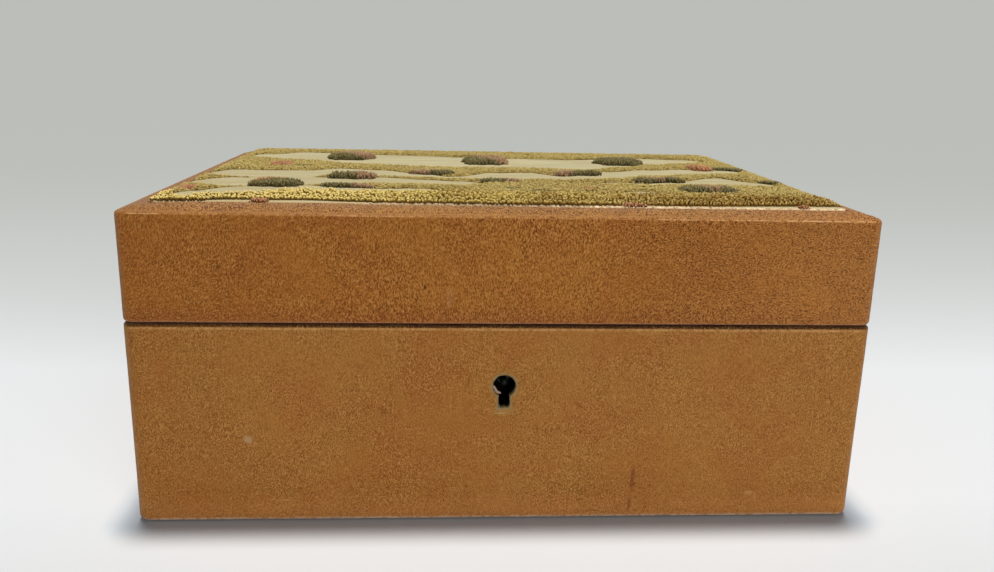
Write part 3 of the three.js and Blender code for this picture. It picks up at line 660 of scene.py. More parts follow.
@dataclass(frozen=True)
class KeyholeWear:
    """The greyed, rubbed leather round a keyhole, and the broad stain of years of keys."""

    z: float
    radius: float
    slot_half: float
    slot_foot: float
    edge: Colour
    halo: Colour
    stain: Colour
    breadth: float = 0.8 * MM
    stain_reach: float = 4.2 * MM
    stain_waver: float = 3 * MM
    fray_size: float = 0.7 * MM
    fray: float = 1 * MM
    patches: Clouds = Clouds(1.8 * MM, 1, 0.38, 0.6)

    def over(self, board: Board, colour: object, behind: object) -> Socket:
        """Lay the keyhole's wear over a colour.

        Args:
            board: The material's node sheet.
            colour: The leather's colour.
            behind: How far the place lies behind the front, so that the wear stays in front.

        Returns:
            The colour with the wear over it.
        """
        x, _, z = board.axes
        middle = (self.z + self.slot_foot) / 2
        half = (self.z - self.slot_foot) / 2
        from_round = board.less(board.distance(x, board.less(z, self.z)), self.radius)
        from_slot = board.math("MAXIMUM", board.past(x, self.slot_half),
                               board.past(board.less(z, middle), half))
        away = board.math("MINIMUM", from_round, from_slot)
        away = board.math("MAXIMUM", away, board.less(behind, self.stain_reach))
        stain_away = board.scaled(board.noise(self.stain_waver, 2), self.stain_waver, away)
        colour = board.tint(colour, self.stain, board.between(stain_away, self.stain_reach, 0.0), 0.5)
        frayed = board.scaled(board.noise(self.fray_size, 2), self.fray, -self.fray / 2)
        away = board.math("ADD", away, frayed)
        patchy = board.scaled(board.clouds(self.patches), 0.5, 0.35)
        halo = board.between(away, self.breadth * 1.3, self.breadth * 0.3)
        colour = board.tint(colour, self.halo, halo, patchy)
        return board.tint(colour, self.edge, board.between(away, self.breadth * 0.35, 0.0), 0.7)


@dataclass(frozen=True)
class LeatherFinish(Finish):
    """Waxed goat leather: mottled dye, slanting grain, rubbed edges with painted highlights, small marks, and
    zones that are mostly painted light and shade.
    """

    tan: Colour
    pale: Colour
    ruddy: Colour
    groove: Colour
    fleck: Colour
    edges: tuple[WornLitEdge, ...]
    zones: tuple[LeatherZone, ...]
    marks: tuple[LeatherMark, ...]
    half_width: float
    half_depth: float
    middle_z: float
    keyhole: KeyholeWear | None = None
    groove_share: float = 0.95
    fleck_share: float = 0.75
    mottle_share: float = 0.5
    grain_width: float = 0.3 * MM
    top: float = 1.0
    grain_stretch: float = 2.4
    lean_left: float = 0.35
    lean_right: float = 0.9
    lean_drift: float = 1.2
    bolder_right: float = 0.2
    bolder_top: float = 0.5
    grain_depth: float = 0.07 * MM
    roughness: float = 0.55
    gloss: float = 0.15
    zone_fray: float = 1.5 * MM
    stretch_ease: float = 2 * MM
    mark_depth: float = 4 * MM
    broad: Clouds = Clouds(48 * MM, 2, 0.36, 0.64)
    middling: Clouds = Clouds(15 * MM, 3, 0.42, 0.66, twist=0.6)
    small: Clouds = Clouds(4 * MM, 3, 0.48, 0.72)
    boldness: Clouds = Clouds(13 * MM, 2, 0.3, 0.66)
    dash: tuple[float, float] = (0.49, 0.39)
    dash_fleck: tuple[float, float] = (0.52, 0.62)
    pit: tuple[float, float] = (0.46, 0.37)
    pit_width: float = 2.1
    patchiness_size: float = 1.3 * MM
    swell_size: float = 7 * MM
    swell_depth: float = 0.3 * MM
    bolder_from: tuple[tuple[float, float], ...] = ((-45 * MM, 0.0), (20 * MM, 60 * MM))

    def lay(self, board: Board) -> None:
        """Lay out the leather.

        Args:
            board: The material's node sheet.
        """
        behind = board.math("ADD", board.axes[1], self.half_depth)
        dark, flecks = self._grain(board)
        colour = self._zoned(board, self._mottling(board))
        colour = board.tint(colour, self.groove, dark, self.groove_share)
        colour = board.tint(colour, self.fleck, flecks, self.fleck_share)
        colour = self._worn_and_highlit(board, colour)
        colour = self._marked(board, colour)
        if self.keyhole is not None:
            colour = self.keyhole.over(board, colour, behind)
        relief = board.less(board.times(flecks, 0.4), dark)
        normal = board.bump(board.noise(self.swell_size, 3), self.swell_depth, 0.5)
        normal = board.bump(relief, self.grain_depth, 0.9, normal)
        rough = board.scaled(board.noise(5 * MM, 3), 0.2, self.roughness - 0.1)
        board.shade(base_color=colour, roughness=rough, normal=normal, specular_ior_level=self.gloss,
                    sheen_weight=0.12, sheen_roughness=0.3)

    def _mottling(self, board: Board) -> Socket:
        """Cloud the dye at three sizes.

        Args:
            board: The material's node sheet.

        Returns:
            The dye's colour.
        """
        colour = board.tint(self.tan, self.pale, board.clouds(self.broad), self.mottle_share)
        colour = board.tint(colour, self.ruddy, board.clouds(self.middling), self.mottle_share)
        return board.tint(colour, self.pale, board.clouds(self.small), self.mottle_share * 0.6)

    def _zoned(self, board: Board, colour: object) -> Socket:
        """Lay the zones over a colour, each with a ragged start.

        Args:
            board: The material's node sheet.
            colour: The leather's colour.

        Returns:
            The colour with the zones over it.
        """
        for zone in self.zones:
            fray = min(self.zone_fray, abs(zone.full - zone.start) / 2)
            ragged = board.scaled(board.noise(6 * MM, 2), 2 * fray, -fray)
            place = board.math("ADD", board.axes[zone.along.value], ragged)
            colour = board.tint(colour, zone.colour, board.between(place, zone.start, zone.full), zone.share)
        return colour

    def _grain(self, board: Board) -> tuple[Socket, Socket]:
        """Set out the grain, upright on the walls and lying on the lid's border.

        Args:
            board: The material's node sheet.

        Returns:
            How far each place lies in a groove, and how far on a pale fleck.
        """
        x, y, z = board.axes
        on_top = board.between(z, self.top, self.top + 0.4 * MM)
        upright = self._upright_grain(board)
        lying = board.merge(x, board.times(y, 0.35), z)
        dashes, pebbles = (
            board.blend(on_top, board.noise(width, 2, upright, rough), board.noise(width, 2, lying, rough))
            for width, rough in ((self.grain_width, 0.7), (self.grain_width * self.pit_width, 0.6)))
        strength = board.scaled(board.clouds(self.boldness), 0.35, 0.5)
        for start, end in self.bolder_from:
            strength = board.scaled(board.between(x, start, end), self.bolder_right, strength)
        strength = board.scaled(on_top, self.bolder_top, strength)
        pits = board.times(board.between(pebbles, *self.pit), 0.2)
        grooves = board.math("MAXIMUM", board.between(dashes, *self.dash), pits)
        return board.times(grooves, strength), board.times(board.between(dashes, *self.dash_fleck), strength)

    def _upright_grain(self, board: Board) -> Socket:
        """Stretch the grain upwards and lean it, more so to the right.

        Args:
            board: The material's node sheet.

        Returns:
            The place in the grain.
        """
        x, y, z = board.axes
        right = board.times(board.between(x, 5 * MM, 80 * MM), self.lean_right)
        left = board.times(board.between(x, -20 * MM, -70 * MM), self.lean_left)
        drift = board.scaled(board.noise(34 * MM, 1), self.lean_drift, -self.lean_drift / 2)
        lean = board.math("ADD", board.math("ADD", right, left), drift)
        shift = board.times(board.less(z, self.middle_z), lean)
        return board.merge(board.less(x, shift), board.less(y, shift),
                           board.math("DIVIDE", z, self.grain_stretch))

    def _worn_and_highlit(self, board: Board, colour: object) -> Socket:
        """Lighten the level edges, partly as rubbed wear and partly as painted light, and rub the upright
        corners.

        Args:
            board: The material's node sheet.
            colour: The leather's colour.

        Returns:
            The colour with the rubbed places and the painted light.
        """
        x, y, z = board.axes
        past_x = board.past(x, self.half_width)
        past_y = board.past(y, self.half_depth)
        inset = board.math("MAXIMUM", past_x, past_y)
        patchiness = board.noise(self.patchiness_size, 3, roughness=0.65)
        # Each level edge gets a pale line that is partly rubbed wear and partly painted light.
        for edge in self.edges:
            away = board.distance(inset, board.less(z, edge.z))
            near = board.between(away, edge.reach, edge.reach * 0.3)
            worn = edge.faint
            for start, end, strength in edge.stretches:
                within = board.times(board.between(x, start - self.stretch_ease, start + self.stretch_ease),
                                     board.between(x, end + self.stretch_ease, end - self.stretch_ease))
                worn = board.math("MAXIMUM", board.times(within, strength), worn)
            broken = board.scaled(board.between(patchiness, 0.36, 0.6), 0.8, 0.2)
            colour = board.tint(colour, edge.colour, board.times(near, broken), worn)
        corner = board.between(board.math("MINIMUM", past_x, past_y), -2.6 * MM, -0.6 * MM)
        return board.tint(colour, self.fleck, board.times(corner, board.between(patchiness, 0.3, 0.65)), 0.3)

    def _marked(self, board: Board, colour: object) -> Socket:
        """Lay the small marks of the front over a colour.

        Args:
            board: The material's node sheet.
            colour: The leather's colour.

        Returns:
            The colour with the marks over it.
        """
        fray = board.scaled(board.noise(1.4 * MM, 2), 0.7, -0.35)
        for mark in self.marks:
            offset = board.vector("SUBTRACT", board.place, (mark.x, -self.half_depth, mark.z))
            shares = (1 / mark.half_width, 1 / self.mark_depth, 1 / mark.half_height)
            away = board.vector("LENGTH", board.vector("MULTIPLY", offset, shares))
            near = board.between(board.math("ADD", away, fray), 1.15, 0.35)
            colour = board.tint(colour, mark.colour, near, mark.strength)
        return colour


@dataclass(frozen=True)
class PlainLeatherFinish(Finish):
    """Cut and skived leather: pale fibres with darker patches."""

    body: Colour
    dark: Colour
    roughness: float = 0.8
    fibres: Clouds = Clouds(0.7 * MM, 3, 0.35, 0.65)
    patches: Clouds = Clouds(3 * MM, 2, 0.4, 0.6)

    def lay(self, board: Board) -> None:
        """Lay out the raw leather.

        Args:
            board: The material's node sheet.
        """
        fibres = board.clouds(self.fibres)
        colour = board.mix(fibres, self.dark, self.body)
        colour = board.tint(colour, self.dark, board.clouds(self.patches), 0.4)
        normal = board.bump(board.noise(0.4 * MM, 3), 0.08 * MM, 0.8)
        rough = board.scaled(fibres, 0.1, self.roughness)
        board.shade(base_color=colour, roughness=rough, normal=normal, specular_ior_level=0.25)


@dataclass(frozen=True)
class PileFinish(Finish):
    """Yarn with painted shade at its root, rich along its length and a painted highlight at its tip."""

    root: Colour
    body: Colour
    tip_highlight: Colour
    aged: Colour
    drift: float = 0.35
    sheen: float = 0.1
    faded: Clouds = Clouds(14 * MM, 3, 0.42, 0.68)

    def lay(self, board: Board) -> None:
        """Lay out the yarn.

        Args:
            board: The material's node sheet.
        """
        reach = board.attribute("reach")
        tone = board.attribute("tone")
        # Painted shade at the root and a painted highlight at the tip, along each yarn's reach.
        colour = board.mix(board.between(reach, 0.25, 0.85), self.root, self.body)
        bright = board.times(board.between(reach, 0.75, 1.0), tone)
        colour = board.mix(bright, colour, self.tip_highlight)
        yarns = board.scaled(board.less(0.6, tone), 0.7, board.clouds(self.faded))
        share = board.times(board.between(yarns, 0.1, 1.1), self.drift)
        colour = board.mix(board.math("ADD", share, board.attribute("age")), colour, self.aged)
        fibres = board.noise(0.25 * MM, 2)
        normal = board.bump(fibres, 0.06 * MM, 0.7)
        rough = board.scaled(fibres, 0.2, 0.5)
        board.shade(base_color=colour, roughness=rough, normal=normal, specular_ior_level=0.2,
                    sheen_weight=self.sheen, sheen_roughness=0.4)


@dataclass(frozen=True)
class GroundClothFinish(Finish):
    """Ribbed ground cloth, pale where it shows between the bands and dark under the pile, where it stands for
    the yarns' roots and for painted shade between the loops; its hem carries painted light.
    """

    pale: Colour
    dull: Colour
    green: Colour
    under: Colour
    under_rear: Colour
    hem: Colour
    hem_dull: Colour
    hem_top: float = 88.12 * MM
    hem_ease: float = 0.15 * MM
    rib: float = 0.7 * MM
    greened: Clouds = Clouds(30 * MM, 2, 0.4, 0.65)
    duller_ahead: tuple[float, float] = (30 * MM, -30 * MM)
    rear_from: tuple[float, float] = (-49 * MM, -44 * MM)
    hem_dull_from: tuple[float, float] = (20 * MM, 0.0)

    def lay(self, board: Board) -> None:
        """Lay out the cloth.

        Args:
            board: The material's node sheet.
        """
        x, y, z = board.axes
        streaks = board.threads(1 * MM, 3, 0.06)
        weave = board.noise(0.8 * MM, 2)
        rib_wave = board.math("SINE", board.times(y, 2 * math.pi / self.rib))
        colour = board.mix(board.between(streaks, 0.35, 0.65), self.dull, self.pale)
        colour = board.tint(colour, self.green, board.clouds(self.greened), 0.45)
        colour = board.tint(colour, self.dull, board.between(weave, 0.55, 0.35), 0.25)
        colour = board.tint(colour, self.dull, board.between(y, *self.duller_ahead), 0.45)
        # Under the pile: the yarns' roots with painted shade between the loops.
        under = board.mix(board.between(y, *self.rear_from), self.under, self.under_rear)
        colour = board.mix(board.between(board.attribute("bare"), 0.8, 0.05), colour, under)
        # The hem's front face is painted lighter than the cloth, as painted light, with less of it left of
        # the middle.
        hem = board.mix(board.between(x, *self.hem_dull_from), self.hem, self.hem_dull)
        colour = board.mix(board.between(z, self.hem_top, self.hem_top - self.hem_ease), colour, hem)
        normal = board.bump(board.scaled(rib_wave, 0.3, streaks), 0.12 * MM, 0.7)
        normal = board.bump(weave, 0.1 * MM, 0.5, normal)
        rough = board.scaled(weave, 0.2, 0.62)
        board.shade(base_color=colour, roughness=rough, normal=normal, specular_ior_level=0.2,
                    sheen_weight=0.1)


@dataclass(frozen=True)
class VelvetFinish(Finish):
    """Short pile velvet, brushed this way and that and rubbed on its high places."""

    body: Colour
    deep: Colour
    rubbed: Colour
    nap: float = 0.35 * MM
    nap_depth: float = 0.12 * MM
    brushing: Clouds = Clouds(9 * MM, 3, 0.36, 0.64, twist=1.2)
    wear: Clouds = Clouds(4 * MM, 4, 0.56, 0.75)

    def lay(self, board: Board) -> None:
        """Lay out the velvet.

        Args:
            board: The material's node sheet.
        """
        brushed = board.clouds(self.brushing)
        colour = board.mix(brushed, self.deep, self.body)
        colour = board.tint(colour, self.rubbed, board.clouds(self.wear), 0.5)
        nap = board.noise(self.nap, 2)
        colour = board.tint(colour, self.deep, board.between(nap, 0.55, 0.4), 0.3)
        normal = board.bump(nap, self.nap_depth, 0.8)
        rough = board.scaled(brushed, 0.1, 0.82)
        board.shade(base_color=colour, roughness=rough, normal=normal, specular_ior_level=0.15,
                    sheen_weight=0.6, sheen_roughness=0.35, sheen_tint=self.rubbed)


@dataclass(frozen=True)
class SatinFinish(Finish):
    """Aged satin: a soft gloss over fine threads, and faint brown clouds."""

    body: Colour
    aged: Colour
    thread: float = 0.35 * MM
    yellowed: Clouds = Clouds(26 * MM, 4, 0.45, 0.7)
    spotted: Clouds = Clouds(2.2 * MM, 2, 0.68, 0.78)

    def lay(self, board: Board) -> None:
        """Lay out the satin.

        Args:
            board: The material's node sheet.
        """
        threads = board.threads(self.thread, 2, 0.08)
        colour = board.tint(self.body, self.aged, board.clouds(self.yellowed), 0.45)
        colour = board.tint(colour, self.aged, board.clouds(self.spotted), 0.35)
        colour = board.tint(colour, self.aged, board.between(threads, 0.5, 0.3), 0.2)
        normal = board.bump(threads, 0.04 * MM, 0.6)
        rough = board.scaled(threads, 0.15, 0.32)
        board.shade(base_color=colour, roughness=rough, normal=normal, specular_ior_level=0.5,
                    sheen_weight=0.2)


@dataclass(frozen=True)
class FeltFinish(Finish):
    """Pressed felt: short crossing fibres and a few pale hairs."""

    body: Colour
    pale: Colour
    fibre: float = 0.5 * MM
    hairs: Clouds = Clouds(0.9 * MM, 3, 0.62, 0.7, twist=3.0)

    def lay(self, board: Board) -> None:
        """Lay out the felt.

        Args:
            board: The material's node sheet.
        """
        fibres = board.noise(self.fibre, 4, twist=2.0)
        colour = board.tint(self.body, self.pale, fibres, 0.5)
        colour = board.tint(colour, self.pale, board.clouds(self.hairs), 0.5)
        normal = board.bump(fibres, 0.15 * MM, 0.9)
        rough = board.scaled(fibres, 0.08, 0.88)
        board.shade(base_color=colour, roughness=rough, normal=normal, specular_ior_level=0.15,
                    sheen_weight=0.3)


@dataclass(frozen=True)
class WoodFinish(Finish):
    """Planed pale wood, with its grain along one axis, and painted shade round a keyhole where one is given.
    """

    body: Colour
    late: Colour
    along: Axis
    keyhole_shade: Colour | None = None
    keyhole_shade_place: tuple[float, float] = (0.0, 40 * MM)
    keyhole_shade_reach: float = 7 * MM
    ring_width: float = 22 * MM
    ring_count: float = 9.0
    pores: Clouds = Clouds(0.4 * MM, 2, 0.42, 0.3)

    def lay(self, board: Board) -> None:
        """Lay out the wood.

        Args:
            board: The material's node sheet.
        """
        place = list(board.axes)
        place[self.along.value] = board.times(place[self.along.value], 0.06)
        run = board.merge(*place)
        rings = board.math("FRACT", board.times(board.noise(self.ring_width, 2, run), self.ring_count))
        late = board.between(rings, 0.55, 0.95)
        pores = board.clouds(self.pores, run)
        colour = board.tint(self.body, self.late, late, 0.7)
        colour = board.tint(colour, self.late, pores, 0.5)
        # Painted shade round the keyhole, so that the hole shows only darkness.
        if self.keyhole_shade is not None:
            x, _, z = board.axes
            away = board.distance(board.less(x, self.keyhole_shade_place[0]), board.less(z, self.keyhole_shade_place[1]))
            colour = board.mix(board.between(away, self.keyhole_shade_reach * 1.3, self.keyhole_shade_reach), colour, self.keyhole_shade)
        normal = board.bump(board.less(late, pores), 0.05 * MM, 0.6)
        rough = board.scaled(board.noise(4 * MM, 2, run), 0.2, 0.55)
        board.shade(base_color=colour, roughness=rough, normal=normal, specular_ior_level=0.3)


@dataclass(frozen=True)
class MetalFinish(Finish):
    """Aged metal: fine scratches, darker where it has tarnished, and painted shade low down in the lock's
    case.
    """

    body: Colour
    tarnish: Colour
    roughness: float
    tarnish_share: float = 0.6
    case_shade: Colour | None = None
    lit_above: float = 54 * MM
    case_shade_reach: float = 2 * MM
    clouded: Clouds = Clouds(5 * MM, 4, 0.42, 0.66, roughness=0.65)
    spotted: Clouds = Clouds(0.9 * MM, 3, 0.62, 0.72)
    scratch: float = 0.25 * MM

    def lay(self, board: Board) -> None:
        """Lay out the metal.

        Args:
            board: The material's node sheet.
        """
        scratches = board.threads(self.scratch, 2, 0.05)
        dull = board.math("MAXIMUM", board.clouds(self.clouded), board.clouds(self.spotted))
        colour = board.tint(self.body, self.tarnish, dull, self.tarnish_share)
        # Painted shade: the metal below a height is darkened, as the inside of the lock's case lies in
        # shadow.
        if self.case_shade is not None:
            deep = board.between(board.axes[2], self.lit_above, self.lit_above - self.case_shade_reach)
            colour = board.mix(deep, colour, self.case_shade)
        rough = board.scaled(dull, 0.2, self.roughness)
        rough = board.scaled(scratches, 0.12, rough)
        normal = board.bump(scratches, 0.02 * MM, 0.6)
        board.shade(base_color=colour, roughness=rough, normal=normal, metallic=1.0)


@dataclass(frozen=True)
class FloorFinish(Finish):
    """Pale matt studio paper: a painted contact shadow close round the box, grey and evenly lit where it is
    far off.
    """

    near: Colour
    far: Colour
    behind: float = 50 * MM
    ahead: float = 65 * MM
    aside: float = 400 * MM
    reach: float = 190 * MM
    even_start: float = 80 * MM
    even_full: float = 300 * MM
    contact_shadow: Colour = dyed(190, 198, 206)
    contact_shadow_start: float = 2 * MM
    contact_shadow_reach: float = 12 * MM
    half_width: float = 99 * MM
    half_depth: float = 74 * MM

    def lay(self, board: Board) -> None:
        """Lay out the floor.

        Args:
            board: The material's node sheet.
        """
        x, y, _ = board.axes
        past = board.math("MAXIMUM", board.past(x, self.aside), 0.0)
        for edge in (board.less(y, self.behind), board.less(-self.ahead, y)):
            past = board.math("MAXIMUM", past, edge)
        fade = board.math("EXPONENT", board.times(past, -1 / self.reach))
        colour = board.mix(fade, self.far, self.near)
        # Painted contact shadow on the floor, within a short reach of the box's footprint.
        aside, beyond = (board.math("MAXIMUM", board.past(place, half), 0.0)
                         for place, half in ((x, self.half_width), (y, self.half_depth)))
        near = board.between(board.distance(aside, beyond), self.contact_shadow_reach, self.contact_shadow_start)
        colour = board.mix(near, colour, self.contact_shadow)
        board.show_plainly(colour, board.between(past, self.even_start, self.even_full))
        dust = board.scaled(board.noise(3 * MM, 2), 0.05, 0.85)
        board.shade(base_color=colour, roughness=dust, specular_ior_level=0.1)


# Leather skins


@dataclass(frozen=True)
class SectionPoint:
    """A point of a skin's section: its inset, its height, and how deep it lies in the leather."""

    inset: float
    z: float
    depth: float


def run_of(start: tuple[float, float], end: tuple[float, float], step: float,
           depth: float) -> list[SectionPoint]:
    """Set section points evenly along a straight stretch, without its end.

    Args:
        start: The first point, as inset and height.
        end: Where the stretch ends.
        step: About how far apart the points lie.
        depth: How deep they lie in the leather.

    Returns:
        The points in order.
    """
    span = math.dist(start, end)
    count = max(1, round(span / step))
    return [SectionPoint(start[0] + (end[0] - start[0]) * at / count,
                         start[1] + (end[1] - start[1]) * at / count, depth) for at in range(count)]


def arc_of(centre: tuple[float, float], radius: float, start: float, end: float, steps: int,
           depth: float) -> list[SectionPoint]:
    """Return section points round a bend, with both ends.

    Args:
        centre: The bend's centre, as inset and height.
        radius: The bend's radius.
        start: The first angle, where 0 faces out of the box and a quarter turn faces up.
        end: The last angle.
        steps: How many steps the bend has.
        depth: How deep the points lie in the leather.

    Returns:
        The points in order.
    """
    angles = [start + (end - start) * at / steps for at in range(steps + 1)]
    return [SectionPoint(centre[0] - radius * math.cos(angle), centre[1] + radius * math.sin(angle), depth)
            for angle in angles]


CORNER_SIDES = ((1, -1), (1, 1), (-1, 1), (-1, -1))


@dataclass
class LeatherSkin:
    """A leather cover: one section swept round the box, bevelled along the rear rim.

    Its side is -1 for the base, whose rim faces up, and 1 for the lid, whose rim faces down.
    """

    side: int
    rim: float
    turn_in: float = 5 * MM
    width: float = 200 * MM
    depth: float = 150 * MM
    corner: float = 3.5 * MM
    least_corner: float = 0.25 * MM
    thickness: float = 1.2 * MM
    turn_thickness: float = 0.8 * MM
    turn_inner: float = 10.6 * MM
    rim_radius: float = 0.9 * MM
    hinge_y: float = 72.4 * MM
    hinge_z: float = 57.1 * MM
    half_gap: float = 0.2 * MM
    bevel_angle: float = math.radians(50)
    bevel_softness: float = 0.12 * MM
    station_spacing: float = 1.25 * MM
    corner_steps: int = 7
    relief: float = 0.05 * MM
    hinge_spacing: float = 110 * MM
    barrel_radius: float = 1.9 * MM
    barrel_length: float = 23.9 * MM
    leaf_half: float = 11.3 * MM
    leaf_front: float = 6.8 * MM
    plate_front: float = 2.2 * MM
    plate_back: float = 9.8 * MM
    room_depth: float = 1.5 * MM
    room_spare: float = 2 * MM
    rim_fold: float = 0.2 * MM
    coarse_step: float = 1.3 * MM
    even_step: float = 1.2 * MM
    fine_step: float = 0.5 * MM
    finest_step: float = 0.4 * MM
    fine_inset: float = 4 * MM
    hidden_step: float = 3 * MM
    after_bend: float = 0.2 * MM
    past_bend: float = 0.3 * MM
    past_fold: float = 1 * MM
    past_lip: float = 1.5 * MM
    waver_size: float = 26 * MM
    crinkle_size: float = 4.5 * MM
    crinkle_share: float = 0.7
    sharp_angle: float = math.radians(48)

    def swept(self, section: list[SectionPoint]) -> np.ndarray:
        """Sweep a section round the box.

        Args:
            section: The section's points in order.

        Returns:
            Points by section point and by station round the box.
        """
        inset = np.array([point.inset for point in section])[:, None]
        radius = np.maximum(self.corner - inset, self.least_corner)[..., None]
        straight = np.stack([self.width / 2 - inset, self.depth / 2 - inset], axis=-1) - radius
        runs = []
        for quarter, sides in enumerate(CORNER_SIDES):
            angles = quarter * math.pi / 2 - math.pi / 2 + np.linspace(0, math.pi / 2, self.corner_steps)
            turns = np.column_stack([np.cos(angles), np.sin(angles)])
            arc = np.array(sides) * straight + radius * turns
            ahead = np.array(CORNER_SIDES[(quarter + 1) % 4]) * straight + radius * turns[-1]
            count = round((self.width if quarter % 2 else self.depth) / self.station_spacing)
            shares = (np.arange(1, count) / count)[:, None]
            runs += [arc, arc[:, -1:] + (ahead - arc[:, -1:]) * shares]
        flat = np.concatenate(runs, axis=1)
        z = np.array([point.z for point in section])[:, None, None]
        return np.concatenate([flat, np.broadcast_to(z, (*flat.shape[:2], 1))], axis=-1)

    def turned_rim(self) -> list[SectionPoint]:
        """Set out the section's stretch over the rim, into the box and back under the leather.

        Returns:
            The points in order.
        """
        up = self.side
        rim = self.rim
        lip = self.turn_thickness
        deep = self.thickness
        inner = self.turn_inner
        outer = inner - lip
        folded = rim + up * self.turn_in
        fold = self.rim_fold
        quarter = -up * math.pi / 2
        return [
            *arc_of((self.rim_radius, rim + up * self.rim_radius), self.rim_radius, 0, quarter, 6, 0),
            *run_of((self.rim_radius + self.past_bend, rim), (self.fine_inset, rim), self.finest_step, 0),
            *run_of((self.fine_inset, rim), (inner - lip - self.after_bend, rim), self.even_step, 0),
            *arc_of((inner - lip, rim + up * lip), lip, quarter, -up * math.pi, 5, 0),
            *run_of((inner, rim + up * self.past_lip), (inner, folded), self.even_step, 0),
            SectionPoint(inner, folded, 0),
            SectionPoint(outer, folded, deep),
            *run_of((outer, rim + up * deep), (deep + self.past_bend, rim + up * deep), self.even_step, deep),
            *arc_of((deep + fold, rim + up * deep + up * fold), fold, quarter, 0, 2, deep),
        ]

    def bevelled(self, points: np.ndarray, section: list[SectionPoint]) -> np.ndarray:
        """Press the rear rim back to its bevel.

        Args:
            points: The swept points.
            section: The section that they come from.

        Returns:
            The points, none beyond the bevel.
        """
        out_y = math.sin(self.bevel_angle)
        out_z = -self.side * math.cos(self.bevel_angle)
        depth = np.array([point.depth for point in section])[:, None]
        past = ((points[..., 1] - self.hinge_y) * out_y + (points[..., 2] - self.hinge_z) * out_z
                + self.half_gap + depth)
        back = self.bevel_softness * np.logaddexp(0, past / self.bevel_softness)
        moved = points.copy()
        moved[..., 1] -= back * out_y
        moved[..., 2] -= back * out_z
        return moved

    def skin(self, name: str, section: list[SectionPoint], cutters: list[Piece], finish: Material) -> Piece:
        """Make one skin, cut it, and let its surface waver a little.

        Args:
            name: The piece's name.
            section: The closed section.
            cutters: What is cut out of it.
            finish: Its material.

        Returns:
            The skin.
        """
        grid = self.bevelled(self.swept(section), section)
        points = grid.reshape(-1, 3)
        piece = new_piece(name, points, facing_out(points, grid_faces(*grid.shape[:2], True, True)))
        piece.data.materials.append(finish)
        cut_away(piece, cutters)
        self._waver(piece)
        piece.data.shade_smooth()
        piece.data.set_sharp_from_angle(angle=self.sharp_angle)
        return piece

    def _waver(self, piece: Piece) -> None:
        """Move the surface in and out by a hair, as leather over wood does.

        Args:
            piece: The skin.
        """
        places = places_of(piece)
        normals = np.empty(places.size, np.float32)
        piece.data.vertex_normals.foreach_get("vector", normals)
        shift = ripple(places, self.waver_size, 3.1) * self.relief
        shift += ripple(places, self.crinkle_size, 7.7) * self.relief * self.crinkle_share
        places += normals.reshape(-1, 3) * shift[:, None]
        move_points(piece, places)

    def rooms(self, plate_name: str, plate_half: float, lining: Material) -> list[Piece]:
        """Make the rooms for a plate in the front rim and for both hinges.

        Args:
            plate_name: The name of the plate's room.
            plate_half: Half its width.
            lining: The material of the cut edges.

        Returns:
            The bodies to cut away, the plate's room first.
        """
        floor = self.rim + self.side * self.room_depth
        front = -self.depth / 2
        low, high = sorted((floor, self.rim - self.side * self.room_spare))
        cutters = [box_cutter(plate_name, (-plate_half, front + self.plate_front, low),
                              (plate_half, front + self.plate_back, high))]
        low, high = sorted((floor, self.hinge_z))
        for place in (-self.hinge_spacing / 2, self.hinge_spacing / 2):
            cutters += [
                rod_cutter("barrel_room", (place, self.hinge_y, self.hinge_z), self.barrel_radius,
                           self.barrel_length),
                box_cutter("leaf_room", (place - self.leaf_half, self.hinge_y - self.leaf_front, low),
                           (place + self.leaf_half, self.hinge_y, high)),
            ]
        for cutter in cutters:
            cutter.data.materials.append(lining)
        return cutters


